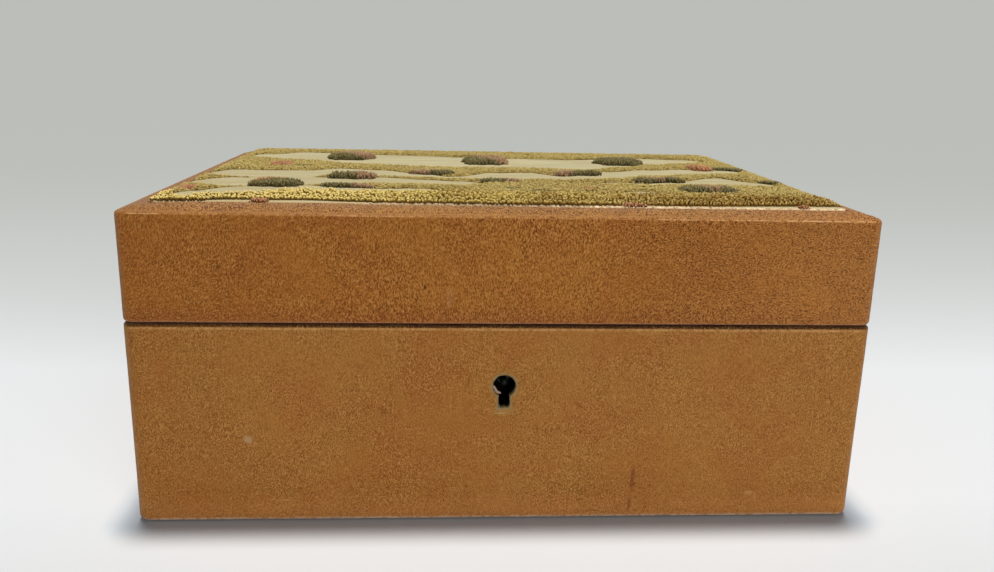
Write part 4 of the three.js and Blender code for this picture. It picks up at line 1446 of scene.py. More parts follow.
@dataclass
class BaseCover(LeatherSkin):
    """The base's skin, with the keyhole and the room for the lock's selvedge."""

    side: int = -1
    rim: float = 56.9 * MM
    foot: float = 0.3 * MM
    foot_radius: float = 1.6 * MM
    turn_under: float = 14 * MM
    keyhole_z: float = 40 * MM
    keyhole_radius: float = 3.1 * MM
    slot_half: float = 1.475 * MM
    slot_foot: float = 33.9 * MM
    slot_corner: float = 0.6 * MM
    lip: float = 0.4 * MM
    selvedge_half: float = 21.3 * MM
    bottom_step: float = 1.4 * MM
    fine_below_rim: float = 8 * MM
    keyhole_steps: int = 45
    hole_ahead: float = 2 * MM
    hole_behind: float = 1 * MM
    lip_tuck: float = 0.97
    lip_gap: float = 0.05 * MM
    lip_steps: int = 7
    lip_wave: float = 0.05 * MM
    lip_sharp_angle: float = math.radians(60)
    sliver_steps: int = 18
    sliver_start: float = 180
    sliver_turn: float = 68

    def section(self) -> list[SectionPoint]:
        """Set out the base skin's section, from under the box, up, over the rim and back.

        Returns:
            The points in order.
        """
        deep = self.thickness
        knee = self.foot + self.foot_radius
        fine = self.rim - self.fine_below_rim
        centre = (self.foot_radius, knee)
        return [
            *run_of((self.turn_under, self.foot), (self.foot_radius, self.foot), self.bottom_step, 0),
            *arc_of(centre, self.foot_radius, -math.pi / 2, 0, 8, 0),
            *run_of((0, knee + self.past_fold), (0, fine), self.coarse_step, 0),
            *run_of((0, fine), (0, self.rim - self.rim_radius - self.after_bend), self.fine_step, 0),
            *self.turned_rim(),
            *run_of((deep, self.rim - deep - self.past_fold), (deep, knee + self.past_bend), self.hidden_step,
                    deep),
            *arc_of(centre, self.foot_radius - deep, 0, -math.pi / 2, 4, deep),
            SectionPoint(self.turn_under, self.foot + deep, deep),
        ]

    def keyhole(self) -> np.ndarray:
        """Set out the worn keyhole, anticlockwise from the slot's right side.

        Returns:
            The outline's points in X and Z.
        """
        meet = math.asin(self.slot_half / self.keyhole_radius)
        angles = np.linspace(meet - math.pi / 2, 1.5 * math.pi - meet, self.keyhole_steps)
        radius = self.keyhole_radius * (0.96 + 0.018 * np.sin(angles * 3 + 0.6) + 0.012 * np.sin(angles * 7))
        worn = np.column_stack([radius * np.cos(angles), self.keyhole_z + radius * np.sin(angles)])
        slot = [(-self.slot_half * 1.02, self.slot_foot + self.slot_corner * 2),
                (-self.slot_half * 0.95, self.slot_foot + self.slot_corner),
                (self.slot_corner - self.slot_half, self.slot_foot),
                (0.1 * MM, self.slot_foot + 0.3 * MM),
                (self.slot_half - self.slot_corner, self.slot_foot + 0.05 * MM),
                (self.slot_half * 0.96, self.slot_foot + self.slot_corner),
                (self.slot_half * 1.03, self.slot_foot + self.slot_corner * 2)]
        return np.vstack([worn, np.array(slot)])

    def _keyhole_sides(self) -> tuple[np.ndarray, np.ndarray]:
        """Find the keyhole's outward directions.

        Returns:
            The outline's points and the direction at each, in X and Z.
        """
        outline = self.keyhole()
        ahead = np.roll(outline, -1, axis=0) - np.roll(outline, 1, axis=0)
        ahead /= np.linalg.norm(ahead, axis=1)[:, None]
        return outline, np.column_stack([ahead[:, 1], -ahead[:, 0]])

    def build(self, finish: Material, raw: Material) -> Piece:
        """Make and seat the base's skin.

        Args:
            finish: The leather's material.
            raw: The material of its cut edges.

        Returns:
            The skin.
        """
        front = -self.depth / 2
        outline, outward = self._keyhole_sides()
        hole = prism_cutter("keyhole_room", outline + outward * self.lip * self.lip_tuck,
                            front - self.hole_ahead, front + self.thickness + self.hole_behind)
        hole.data.materials.append(raw)
        cutters = self.rooms("selvedge_room", self.selvedge_half, raw)
        cutters.insert(1, hole)
        piece = self.skin("base_skin", self.section(), cutters, finish)
        return seat(piece, Body.BASE, Slot.LEATHER, "base_leather")

    def build_lip(self, finish: Material) -> Piece:
        """Make the lip of the keyhole, where the leather bends softly into the hole.

        Args:
            finish: The leather's material.

        Returns:
            The lip.
        """
        outline, outward = self._keyhole_sides()
        count = len(outline)
        front = -self.depth / 2
        profile = [(self.lip, 0.0)]
        profile += [(self.lip + self.lip * math.cos(angle), self.lip - self.lip * math.sin(angle))
                    for angle in np.linspace(math.pi / 2, math.pi, self.lip_steps)[1:]]
        back_face = self.thickness - self.lip_gap
        profile += [(0.0, back_face), (self.lip * self.lip_tuck, back_face)]
        rows = []
        for at, (side, back) in enumerate(profile):
            place = outline + outward * side
            wave = self.lip_wave * np.sin(np.arange(count) * 0.7 + at * 0.3) * (0 < at < len(profile) - 2)
            rows.append(np.column_stack([place[:, 0], front + back + np.abs(wave), place[:, 1]]))
        points = np.vstack(rows)
        faces = facing_out(points, grid_faces(len(rows), count, True, True))
        piece = new_piece("keyhole_lip", points, faces)
        piece.data.set_sharp_from_angle(angle=self.lip_sharp_angle)
        piece.data.materials.append(finish)
        return seat(piece, Body.BASE, Slot.LEATHER)

    def build_flap(self, finish: Material) -> Piece:
        """Make the torn sliver of leather that curls in the lower left of the round hole.

        Args:
            finish: Its material.

        Returns:
            The sliver.
        """
        steps = self.sliver_steps
        shares = np.linspace(0, 1, steps)
        angles = np.radians(self.sliver_start + self.sliver_turn * shares)
        middle = self.keyhole_radius - (0.2 + 0.5 * shares ** 0.7) * MM
        breadth = (0.08 + 0.26 * np.sin(math.pi * np.clip(shares * 0.85 + 0.12, 0, 1)) ** 0.7) * MM
        front = -self.depth / 2
        rows = []
        for side, lift in ((1, 0.3), (-1, 0.42), (-1, 0.75), (1, 0.8)):
            radius = middle + breadth * side
            y = front + lift * MM + 0.06 * MM * np.sin(shares * 9)
            z = self.keyhole_z + radius * np.sin(angles)
            rows.append(np.column_stack([radius * np.cos(angles), y, z]))
        points = np.vstack(rows)
        walls = grid_faces(4, steps, True, False)
        ends = np.array([[0, steps, 2 * steps, 3 * steps],
                         [steps - 1, 4 * steps - 1, 3 * steps - 1, 2 * steps - 1]])
        piece = new_piece("keyhole_torn_sliver", points, facing_out(points, np.vstack([walls, ends])))
        piece.data.materials.append(finish)
        return seat(piece, Body.BASE, Slot.LEATHER)


@dataclass
class LidCover(LeatherSkin):
    """The lid's skin, with the sloping border round the textile panel."""

    side: int = 1
    rim: float = 57.3 * MM
    crease: float = 86.2 * MM
    border_width: float = 7 * MM
    border_rise: float = 1.5 * MM
    crease_radius: float = 1.2 * MM
    dome: float = 0.12 * MM
    skive: float = 0.35 * MM
    border_step: float = 0.55 * MM
    below_crease: float = 0.6 * MM
    fine_above_rim: float = 7 * MM
    lift_from: float = 2 * MM
    lap: float = 0.3 * MM
    link_half: float = 15.3 * MM
    lift_x: tuple[float, ...] = in_mm(-95, -74, -42, -33, 90)
    lift: tuple[float, ...] = in_mm(0, 0.45, 0.45, 0.12, 0.12)

    def section(self) -> list[SectionPoint]:
        """Set out the lid skin's section, from the border's inner edge, down, under the rim and back.

        Returns:
            The points in order.
        """
        slope = math.atan2(self.border_rise, self.border_width)
        top = self.crease + self.border_rise
        radius = self.crease_radius
        arc_z = self.crease + radius * math.tan(slope) - radius / math.cos(slope)
        turn = math.pi / 2 + slope
        crest = (radius - radius * math.cos(turn), arc_z + radius * math.sin(turn))
        deep = self.thickness
        inner_drop = deep / math.cos(slope)
        skive = self.skive
        fine = self.rim + self.fine_above_rim
        return [
            SectionPoint(self.border_width, top - skive * 1.3, 0),
            SectionPoint(self.border_width - skive * 0.4, top - skive * 0.35, 0),
            *self._domed(run_of((self.border_width - skive * 1.6, top - skive * 0.3), crest,
                                self.border_step, 0)),
            *arc_of((radius, arc_z), radius, turn, 0, 8, 0),
            *run_of((0, arc_z - self.below_crease), (0, fine), self.coarse_step, 0),
            *run_of((0, fine), (0, self.rim + self.rim_radius + self.after_bend), self.fine_step, 0),
            *self.turned_rim(),
            *run_of((deep, self.rim + deep + self.past_fold), (deep, self.crease - deep), self.hidden_step,
                    deep),
            SectionPoint(deep, self.crease + self.border_rise * deep / self.border_width - inner_drop, deep),
            SectionPoint(self.border_width, top - inner_drop, deep),
        ]

    def _domed(self, run: list[SectionPoint]) -> list[SectionPoint]:
        """Raise the border into a low dome.

        Args:
            run: The border's points in order.

        Returns:
            The raised points.
        """
        span = len(run)
        return [SectionPoint(point.inset, point.z + self.dome * math.sin(math.pi * at / span), point.depth)
                for at, point in enumerate(run)]

    def build(self, finish: Material, raw: Material) -> Piece:
        """Make and seat the lid's skin.

        Args:
            finish: The leather's material.
            raw: The material of its cut edges.

        Returns:
            The skin.
        """
        cutters = self.rooms("link_room", self.link_half, raw)
        piece = self.skin("lid_skin", self.section(), cutters, finish)
        self._lift_border(piece)
        return seat(piece, Body.LID, Slot.LEATHER, "lid_leather")

    def _lift_border(self, piece: Piece) -> None:
        """Raise the inner edge of the front border, most on the left, where it laps over the cloth.

        Args:
            piece: The lid's skin.
        """
        places = places_of(piece)
        inset = places[:, 1] + self.depth / 2
        near = smooth_step((inset - self.lift_from) / (self.border_width - self.lift_from))
        on_border = (inset < self.border_width + self.lap) & (places[:, 2] > self.crease)
        places[:, 2] += eased_curve(places[:, 0], self.lift_x, self.lift) * near * on_border
        move_points(piece, places)


# Textile panel


YARN_SIDES = 4


def yarns(lines: np.ndarray, side: np.ndarray, radii: np.ndarray) -> tuple[np.ndarray, np.ndarray]:
    """Put a four-sided, capped yarn along each of many centre lines.

    Args:
        lines: The centre lines, by yarn, station and axis.
        side: A direction for each yarn that its line doesn't follow.
        radii: The yarns' radii, by yarn and station.

    Returns:
        The points and the faces.
    """
    along = np.gradient(lines, axis=1)
    along /= np.linalg.norm(along, axis=2, keepdims=True)
    first = side[:, None, :] - along * np.sum(along * side[:, None, :], axis=2, keepdims=True)
    first /= np.linalg.norm(first, axis=2, keepdims=True)
    second = np.cross(along, first)
    ring = np.stack([first, second, -first, -second], axis=2)
    points = lines[:, :, None, :] + radii[:, :, None, None] * ring
    number = np.arange(points[..., 0].size).reshape(points.shape[:3])
    after = np.roll(number, -1, axis=2)
    walls = np.stack([number[:, :-1], after[:, :-1], after[:, 1:], number[:, 1:]], axis=-1).reshape(-1, 4)
    return points.reshape(-1, 3), np.vstack([walls, number[:, 0][:, ::-1], number[:, -1]])


def pile_piece(name: str, lines: np.ndarray, side: np.ndarray, radii: np.ndarray, finish: Material,
               **values: object) -> Piece:
    """Make and seat one piece of pile.

    Args:
        name: The piece's name.
        lines: The yarns' centre lines, by yarn, station and axis.
        side: A direction for each yarn that its line doesn't follow.
        radii: The yarns' radii, by yarn and station.
        finish: The piece's material.
        values: What its finish reads, by yarn and station.

    Returns:
        The piece.
    """
    piece = new_piece(name, *yarns(lines, side, radii))
    for value, given in values.items():
        write_values(piece, value, np.repeat(np.broadcast_to(given, radii.shape).ravel(), YARN_SIDES))
    piece.data.materials.append(finish)
    return seat(piece, Body.LID, Slot.MOQUETTE)


@dataclass(frozen=True)
class Swag:
    """A pale band that hangs across the cloth: its middle and half breadth at a few places."""

    x: tuple[float, ...]
    middle: tuple[float, ...]
    half: tuple[float, ...]

    def inside(self, x: np.ndarray, y: np.ndarray) -> np.ndarray:
        """Return how far each place lies within the band, below 0 outside it."""
        away = np.abs(y - eased_curve(x, self.x, self.middle))
        return eased_curve(x, self.x, self.half) - away


class SprigDye(Enum):
    """How a sprig's colours lie."""

    MAUVE_REAR = "green in front and left, mauve behind and right"
    MAUVE_RIGHT = "green left, mauve right"
    MAUVE_LEFT = "mauve left, green right"
    MAUVE_MIDDLE = "mauve in the middle, green round it"
    SALMON_LEFT = "salmon behind and left, green in front"
    GREEN = "green"
    SALMON = "salmon"


# How a sprig's second colour comes in: to the right, to the back and everywhere
SECOND_DYE = {
    SprigDye.MAUVE_REAR: (0.8, 0.9, 0.51),
    SprigDye.MAUVE_RIGHT: (1.0, 0.25, 0.1),
    SprigDye.MAUVE_LEFT: (-1.0, 0.2, 0.1),
    SprigDye.SALMON_LEFT: (-0.6, 0.7, -0.1),
    SprigDye.SALMON: (0.0, 0.0, 1.0),
    SprigDye.GREEN: (0.0, 0.0, -1.0),
}


@dataclass(frozen=True)
class Sprig:
    """A small tuft of cut pile: its middle, half sizes, height and dye."""

    x: float
    y: float
    half_x: float
    half_y: float
    height: float
    dye: SprigDye
    blur: float = 0.4

    def share(self, x: np.ndarray, y: np.ndarray) -> np.ndarray:
        """Tell how far places lie from the sprig's middle.

        Args:
            x: The places along X.
            y: The places along Y.

        Returns:
            0 at the sprig's middle and 1 at its squarish rim.
        """
        across = np.abs((x - self.x) / self.half_x)
        along = np.abs((y - self.y) / self.half_y)
        return (across ** 3 + along ** 3) ** (1 / 3)

    def tinted(self, across: np.ndarray, back: np.ndarray) -> np.ndarray:
        """Tell how likely each place takes the sprig's second colour, mauve or salmon.

        Args:
            across: The places from the sprig's left, -1, to its right, 1.
            back: The places from its front, -1, to its back, 1.

        Returns:
            The likelihoods.
        """
        if self.dye is SprigDye.MAUVE_MIDDLE:
            return smooth_step((0.5 - np.abs(across - 0.1) + back * 0.3) / self.blur) * 0.85
        to_right, to_back, offset = SECOND_DYE[self.dye]
        return smooth_step((across * to_right + back * to_back + offset) / self.blur)


@dataclass(frozen=True)
class LoopSet:
    """How one stretch of looped pile is woven: its spacing, its loops and how tidy it is."""

    name: str
    start: float
    end: float
    pitch: float
    row_pitch: float
    height: float
    span: float
    radius: float
    untidy: float
    turn: float
    stations: int
    shore: float
    dye: str = "gold"
    follows_edge: bool = False


def sprig_of(x: tuple[float, float], y: tuple[float, float], height: float, dye: SprigDye) -> Sprig:
    """Return a sprig between two places across and two distances from the front, in millimetres."""
    return Sprig(sum(x) / 2 * MM, (sum(y) / 2 - 75) * MM, (x[1] - x[0]) / 2 * MM, (y[1] - y[0]) / 2 * MM,
                 height * MM, dye)


@dataclass
class TextilePanel:
    """The lid's panel: wadding, a ribbed ground cloth, bands of looped pile and cut sprigs."""

    half_x: float = 92.7 * MM
    half_y: float = 67.7 * MM
    corner: float = 2.5 * MM
    board_top: float = 86.2 * MM
    wadding_top: float = 87.6 * MM
    ground: float = 88.15 * MM
    swell: float = 0.5 * MM
    cloth: float = 0.35 * MM
    roll: float = 0.5 * MM
    root: float = 0.2 * MM
    strand_radius: float = 0.22 * MM
    strand_spacing: float = 0.56 * MM
    thread_count: int = 300
    thread_radius: float = 0.075 * MM
    thread_x_mm: tuple[float, float] = (-40, 90)
    thread_length_mm: tuple[float, float] = (0.5, 1.6)
    thread_z_mm: tuple[float, float] = (87.75, 88.15)
    border_z: float = 87.8 * MM
    border_slope: float = 0.2143
    bare_edge: float = 0.4 * MM
    loop_lean: float = 0.2
    strand_taper: tuple[float, ...] = (0.9, 1.05, 1.0, 0.6)
    wadding_inset: float = 0.8 * MM
    wadding_gap: float = 0.05 * MM
    cloth_spacing: float = 1 * MM
    cloth_waver: float = 0.1 * MM
    cloth_waver_size: float = 11 * MM
    swell_lead: float = 1 * MM
    swell_reach: float = 4 * MM
    swell_margin: float = 6 * MM
    bare_lead: float = 0.8 * MM
    bare_reach: float = 3.4 * MM
    bare_margin: float = 0.6 * MM
    hem_below: float = 0.75 * MM
    seed: int = 11
    front_x: tuple[float, ...] = in_mm(-92, -82, -73, -54, -43, -33, -13, -3, 17, 27, 38, 58, 69, 80, 92)
    front_y: tuple[float, ...] = front_mm(7.6, 7.8, 10.2, 10.6, 9.2, 8.3, 7.8, 7.5, 7.7, 8.2, 8.6, 8.6,
                                          9.6, 10.6, 10.8)

    loops: tuple[LoopSet, ...] = (
        LoopSet("front_pile", -68 * MM, -54 * MM, 0.82 * MM, 0.86 * MM, 1.9 * MM, 0.4 * MM, 0.19 * MM,
                0.2, 0.6, 6, 1.6 * MM, "front_gold", True),
        LoopSet("middle_pile", -53.9 * MM, -12 * MM, 0.88 * MM, 1.0 * MM, 0.9 * MM, 0.9 * MM, 0.26 * MM,
                0.15, 0.3, 5, 3 * MM),
        LoopSet("rear_pile", -12 * MM, 67.2 * MM, 0.88 * MM, 1.0 * MM, 0.9 * MM, 0.9 * MM, 0.26 * MM,
                0.15, 0.3, 5, 3 * MM),
    )

    swags: tuple[Swag, ...] = (
        Swag(in_mm(-93, -84, -70, -41, -27, -12, 16, 30, 46, 61, 77, 88),
             front_mm(116, 116.8, 117.8, 109.9, 107.4, 104.8, 104.2, 102, 108, 116.1, 118.6, 119),
             in_mm(-2, 7, 14.7, 17.6, 18.6, 18.2, 16.2, 17.9, 15, 11.7, 7, -2)),
        Swag(in_mm(-93, -86, -74, -62, -50, -38, -25, -13, 0, 12, 24, 39, 53, 68, 82, 92),
             front_mm(65, 64.8, 63.5, 64, 71.7, 69.1, 64, 59.4, 65.6, 66.2, 62.2, 72, 79.4, 83.4, 85.3, 86),
             in_mm(2, 9, 10, 9.5, 9, 8, 5, 3, 9.3, 9, 5, 9.4, 9.2, 8.2, 6, 0)),
        Swag(in_mm(-93, -81, -70, -59, -48, -36, -25, -13, 0, 12, 23, 35, 47, 60, 74, 84, 92),
             front_mm(44, 43.8, 44.2, 47.1, 48.9, 50.5, 49.3, 46.3, 47, 48, 49.9, 51.6, 49.4, 54.6, 58.7,
                      52.3, 50),
             in_mm(3, 9.9, 10.3, 9.9, 8, 8, 5.7, 5.6, -2, -2, 1.5, 2, 2.5, 5, 10, 5, 0)),
        Swag(in_mm(-93, -85, -77, -67, -57, -46, -35, -24, -13, 0, 8, 20, 31, 42, 52, 75, 85, 92),
             front_mm(19, 18, 24, 25.7, 30.2, 27.6, 27.2, 27.7, 26, 26, 26, 26.5, 27.4, 28.3, 28, 28, 27, 27),
             in_mm(0, 6.5, 9, 8.6, 7.2, 7, 6.2, 6.5, 3, -2, -2, 2, 2.5, 6, -1, -2, 1, 0)),
    )

    sprigs: tuple[Sprig, ...] = (
        sprig_of((-60, -43), (104, 119), 2.2, SprigDye.MAUVE_REAR),
        sprig_of((-9.5, 6.8), (94, 114), 2.1, SprigDye.MAUVE_REAR),
        sprig_of((39.8, 57.6), (98, 114), 2.1, SprigDye.GREEN),
        sprig_of((-74, -58), (31.5, 41.5), 1.9, SprigDye.SALMON_LEFT),
        sprig_of((-53, -38), (50, 58), 2.1, SprigDye.MAUVE_RIGHT),
        sprig_of((-52.5, -37), (31, 36.5), 1.5, SprigDye.MAUVE_RIGHT),
        sprig_of((-27.5, -12.2), (64, 71), 1.7, SprigDye.MAUVE_LEFT),
        sprig_of((19, 36), (67, 75), 1.7, SprigDye.MAUVE_LEFT),
        sprig_of((-5.6, 7.5), (46, 52.5), 1.7, SprigDye.MAUVE_RIGHT),
        sprig_of((43, 60), (52, 59), 1.8, SprigDye.MAUVE_MIDDLE),
        sprig_of((52.3, 71.5), (29, 40), 2.1, SprigDye.MAUVE_MIDDLE),
        sprig_of((80, 91), (87, 94), 1.3, SprigDye.GREEN),
        sprig_of((1.5, 6.3), (32, 36), 1.0, SprigDye.GREEN),
        sprig_of((7.8, 14.8), (27.5, 31), 1.2, SprigDye.GREEN),
        sprig_of((-67.4, -62.1), (81, 85), 1.1, SprigDye.GREEN),
        sprig_of((85.5, 92), (53, 59), 1.2, SprigDye.GREEN),
        sprig_of((-77.5, -69), (82, 95), 1.3, SprigDye.SALMON),
        sprig_of((-91, -86), (24, 34), 1.0, SprigDye.SALMON),
        sprig_of((71.5, 79.5), (85, 100), 1.7, SprigDye.SALMON),
        sprig_of((22.5, 29.3), (34, 38), 1.1, SprigDye.SALMON),
        sprig_of((-67, -62.3), (6.4, 9.0), 1.0, SprigDye.SALMON),
        sprig_of((31, 37.4), (6.6, 9.4), 0.9, SprigDye.SALMON),
        sprig_of((79, 82), (6.9, 9), 0.8, SprigDye.SALMON),
    )

    def inside_swag(self, x: np.ndarray, y: np.ndarray) -> np.ndarray:
        """Tell how far places lie within the nearest pale band, with its wavering edge.

        Args:
            x: The places along X.
            y: The places along Y.

        Returns:
            The distances, below 0 on the pile.
        """
        places = np.column_stack([x.ravel(), y.ravel(), np.zeros(x.size)])
        waver = ripple(places, 9 * MM, 1.3) * 1.1 * MM + ripple(places, 3 * MM, 5.1) * 0.7 * MM
        return np.max([swag.inside(x, y) for swag in self.swags], axis=0) + waver.reshape(x.shape)

    def front_row(self, x: np.ndarray) -> np.ndarray:
        """Return where the pile starts, behind the cloth's bare front edge."""
        return eased_curve(x, self.front_x, self.front_y)

    def edge_share(self, x: np.ndarray, y: np.ndarray) -> np.ndarray:
        """Tell how far the pile has risen from the panel's sides.

        Args:
            x: The places along X.
            y: The places along Y.

        Returns:
            Shares of the pile's full height.
        """
        side = smooth_step((self.half_x - np.abs(x)) / (5 * MM)) * 0.55 + 0.45
        back = smooth_step((self.half_y - y) / (3 * MM)) * 0.35 + 0.65
        front = smooth_step((y - self.front_row(x)) / (6 * MM)) * 0.5 + 0.5
        return side * back * front

    def cloth_height(self, x: np.ndarray, y: np.ndarray) -> np.ndarray:
        """Return the ground cloth's height, swelling up between the bands of pile."""
        rise = self.swell * smooth_step((self.inside_swag(x, y) + self.swell_lead) / self.swell_reach)
        return self.ground + rise * smooth_step((self.half_x - np.abs(x)) / self.swell_margin)

    def build(self, finishes: dict[str, Material]) -> None:
        """Make and seat the wadding, the cloth and all the pile.

        Args:
            finishes: The materials by what they are for.
        """
        draw = np.random.default_rng(self.seed)
        pile = []
        for loops in self.loops:
            pile += self._loop_pieces(loops, draw, finishes[loops.dye])
        pile += self._sprig_pieces(draw, finishes)
        pile.append(self._frayed_edge(draw, finishes["fray"]))
        self._wadding(finishes["wadding"])
        ground = self._ground(finishes["ground"])
        seat(ground, Body.LID, Slot.MOQUETTE, "textile_panel")

    def _wadding(self, finish: Material) -> None:
        """Make and seat the thin pad under the cloth.

        Args:
            finish: Its material.
        """
        inset = self.wadding_inset
        low = (inset - self.half_x, inset - self.half_y, self.board_top + self.wadding_gap)
        high = (self.half_x - inset, self.half_y - inset, self.wadding_top)
        form = SoftForm("panel_wadding", low, high, Axis.Z, edge=0.8 * MM, corner=2 * MM, spacing=3 * MM)
        piece = form.build(finish)
        seat(piece, Body.LID, Slot.MOQUETTE)

    def _ground(self, finish: Material) -> Piece:
        """Make the ground cloth, rolled down at its edges into the border.

        Args:
            finish: Its material.

        Returns:
            The cloth.
        """
        across = np.linspace(-1, 1, round(self.half_x * 2 / self.cloth_spacing) + 1)
        along = np.linspace(-1, 1, round(self.half_y * 2 / self.cloth_spacing) + 1)
        share_x, share_y = np.meshgrid(across, along)
        x, y = rounded_corners(share_x * self.half_x, share_y * self.half_y, self.half_x, self.half_y,
                               self.corner)
        rows, columns = x.shape
        x = x.ravel()
        y = y.ravel()
        inside = self.inside_swag(x, y)
        margin = smooth_step((self.front_row(x) - y) / self.bare_margin)
        bare = np.maximum(smooth_step((inside + self.bare_lead) / self.bare_reach), margin)
        z = self.cloth_height(x, y)
        z += ripple(np.column_stack([x, y, z]), self.cloth_waver_size, 2.2) * self.cloth_waver
        edge = np.minimum(self.half_x - np.abs(x), self.half_y - np.abs(y))
        fall = np.clip(1 - edge / self.roll, 0, 1)
        z -= self.roll * (1 - np.sqrt(np.clip(1 - fall ** 2, 0, 1)))
        points = np.column_stack([x, y, z])
        around = border_numbers(rows, columns)
        hem = points[around]
        hem[:, 2] = self.wadding_top - self.hem_below
        ring = np.arange(len(around))
        foot = len(points) + ring
        walls = np.column_stack([np.roll(around, -1), around, foot, np.roll(foot, -1)])
        faces = np.vstack([grid_faces(rows, columns), walls])
        piece = new_piece("ground_cloth", np.vstack([points, hem]), faces)
        write_values(piece, "bare", np.concatenate([bare, np.ones(len(hem))]))
        thicken = piece.modifiers.new("thickness", "SOLIDIFY")
        thicken.thickness = self.cloth
        thicken.offset = -1
        settle_modifiers(piece)
        piece.data.shade_smooth()
        piece.data.materials.append(finish)
        return piece

    def _loop_pieces(self, loops: LoopSet, draw: np.random.Generator, finish: Material) -> list[Piece]:
        """Make one stretch of looped pile, as a left, a middle and a right piece.

        Args:
            loops: How the stretch is woven.
            draw: The source of its small differences.
            finish: Its material.

        Returns:
            The pieces.
        """
        table = self._loop_table(loops, draw)
        third = self.half_x / 3
        ends = (-self.half_x, -third, third, self.half_x)
        pieces = []
        for name, low, high in zip(("left", "middle", "right"), ends, ends[1:]):
            chosen = table[(table[:, 0] >= low) & (table[:, 0] < high)]
            pieces.append(self._arches(f"{loops.name}_{name}", loops, chosen, finish))
        return pieces

    def _loop_places(self, loops: LoopSet, draw: np.random.Generator) -> tuple[np.ndarray, ...]:
        """Set out the loops in staggered rows, and leave the swags and sprigs free.

        Args:
            loops: How the stretch is woven.
            draw: The source of its small differences.

        Returns:
            The places in X and Y, and how far each lies within a swag.
        """
        columns = int(self.half_x * 2 / loops.pitch)
        rows = int((loops.end - loops.start) / loops.row_pitch)
        across, along = np.meshgrid(np.arange(columns), np.arange(rows))
        x = (across + 0.5 * (along % 2) - columns / 2) * loops.pitch
        y = loops.start + along * loops.row_pitch
        if loops.follows_edge:
            y = y + self.front_row(x) - loops.start
        x = (x + draw.uniform(-1, 1, x.shape) * loops.untidy * loops.pitch).ravel()
        y = (y + draw.uniform(-1, 1, y.shape) * loops.untidy * loops.row_pitch).ravel()
        inside = self.inside_swag(x, y)
        keep = (np.abs(x) < self.half_x - self.bare_edge) & (y < self.half_y - self.bare_edge)
        keep &= y < loops.end
        keep &= inside < draw.uniform(-0.6, 0.5, x.size) * MM
        for sprig in self.sprigs:
            keep &= sprig.share(x, y) > 0.92
        return x[keep], y[keep], inside[keep]

    def _loop_table(self, loops: LoopSet, draw: np.random.Generator) -> np.ndarray:
        """Draw every loop of a stretch.

        Args:
            loops: How the stretch is woven.
            draw: The source of its small differences.

        Returns:
            For each loop its X, Y, height, turn, lean in X and Y, tone and age.
        """
        x, y, inside = self._loop_places(loops, draw)
        clumps = 1 + 0.16 * ripple(np.column_stack([x, y, x * 0]), 2.6 * MM, 4.4)
        shore = 0.35 + 0.65 * smooth_step(-inside / loops.shore)
        height = loops.height * draw.uniform(0.75, 1.18, x.size) * clumps * shore * self.edge_share(x, y)
        tone = draw.uniform(0.1, 1.0, x.size)
        age = draw.uniform(0, 0.14, x.size)
        if loops.follows_edge:
            age += smooth_step((x + 30 * MM) / (100 * MM)) * 0.45 - 0.1
            tone += 0.8 * smooth_step((-10 * MM - x) / (50 * MM))
        turn = draw.normal(0, loops.turn, x.size)
        lean_x = draw.normal(0, self.loop_lean, x.size)
        lean_y = draw.normal(-0.14, self.loop_lean, x.size)
        return np.column_stack([x, y, height, turn, lean_x, lean_y, tone, age])

    def _arches(self, name: str, loops: LoopSet, table: np.ndarray, finish: Material) -> Piece:
        """Make one piece of looped pile, an arch of yarn at each place.

        Args:
            name: The piece's name.
            loops: How it is woven.
            table: Its loops, as _loop_table gives them.
            finish: Its material.

        Returns:
            The piece.
        """
        x, y, height, turn, lean_x, lean_y, tone, age = table.T
        angle = np.linspace(0, math.pi, loops.stations)
        swing = -np.cos(angle)[None, :] * (loops.span / 2)
        rise = np.sin(angle)[None, :] ** 0.75
        lift = rise * (height[:, None] + self.root)
        line_x = x[:, None] + swing * np.cos(turn)[:, None] + lean_x[:, None] * lift * rise
        line_y = y[:, None] + swing * np.sin(turn)[:, None] + lean_y[:, None] * lift * rise
        base = self.cloth_height(x, y) - self.root
        lines = np.stack([line_x, line_y, base[:, None] + lift], axis=-1)
        side = np.column_stack([-np.sin(turn), np.cos(turn), np.zeros(len(x))])
        radii = loops.radius * (0.82 + 0.32 * np.minimum(tone, 1)[:, None]) * (0.8 + 0.3 * rise)
        return pile_piece(name, lines, side, radii, finish, reach=rise, tone=tone[:, None], age=age[:, None])

    def _sprig_pieces(self, draw: np.random.Generator, finishes: dict[str, Material]) -> list[Piece]:
        """Make the cut pile of the sprigs, one piece for each dye.

        Args:
            draw: The source of its small differences.
            finishes: The dyes' materials.

        Returns:
            The pieces.
        """
        strands: dict[str, list[np.ndarray]] = {"green": [], "mauve": [], "salmon": []}
        for sprig in self.sprigs:
            table, tinted = self._sprig_table(sprig, draw)
            warm = sprig.dye in (SprigDye.SALMON, SprigDye.SALMON_LEFT)
            strands["salmon" if warm else "mauve"].append(table[tinted])
            strands["green"].append(table[~tinted])
        return [self._strands(f"{dye}_sprigs", np.vstack(tables), draw, finishes[dye])
                for dye, tables in strands.items()]

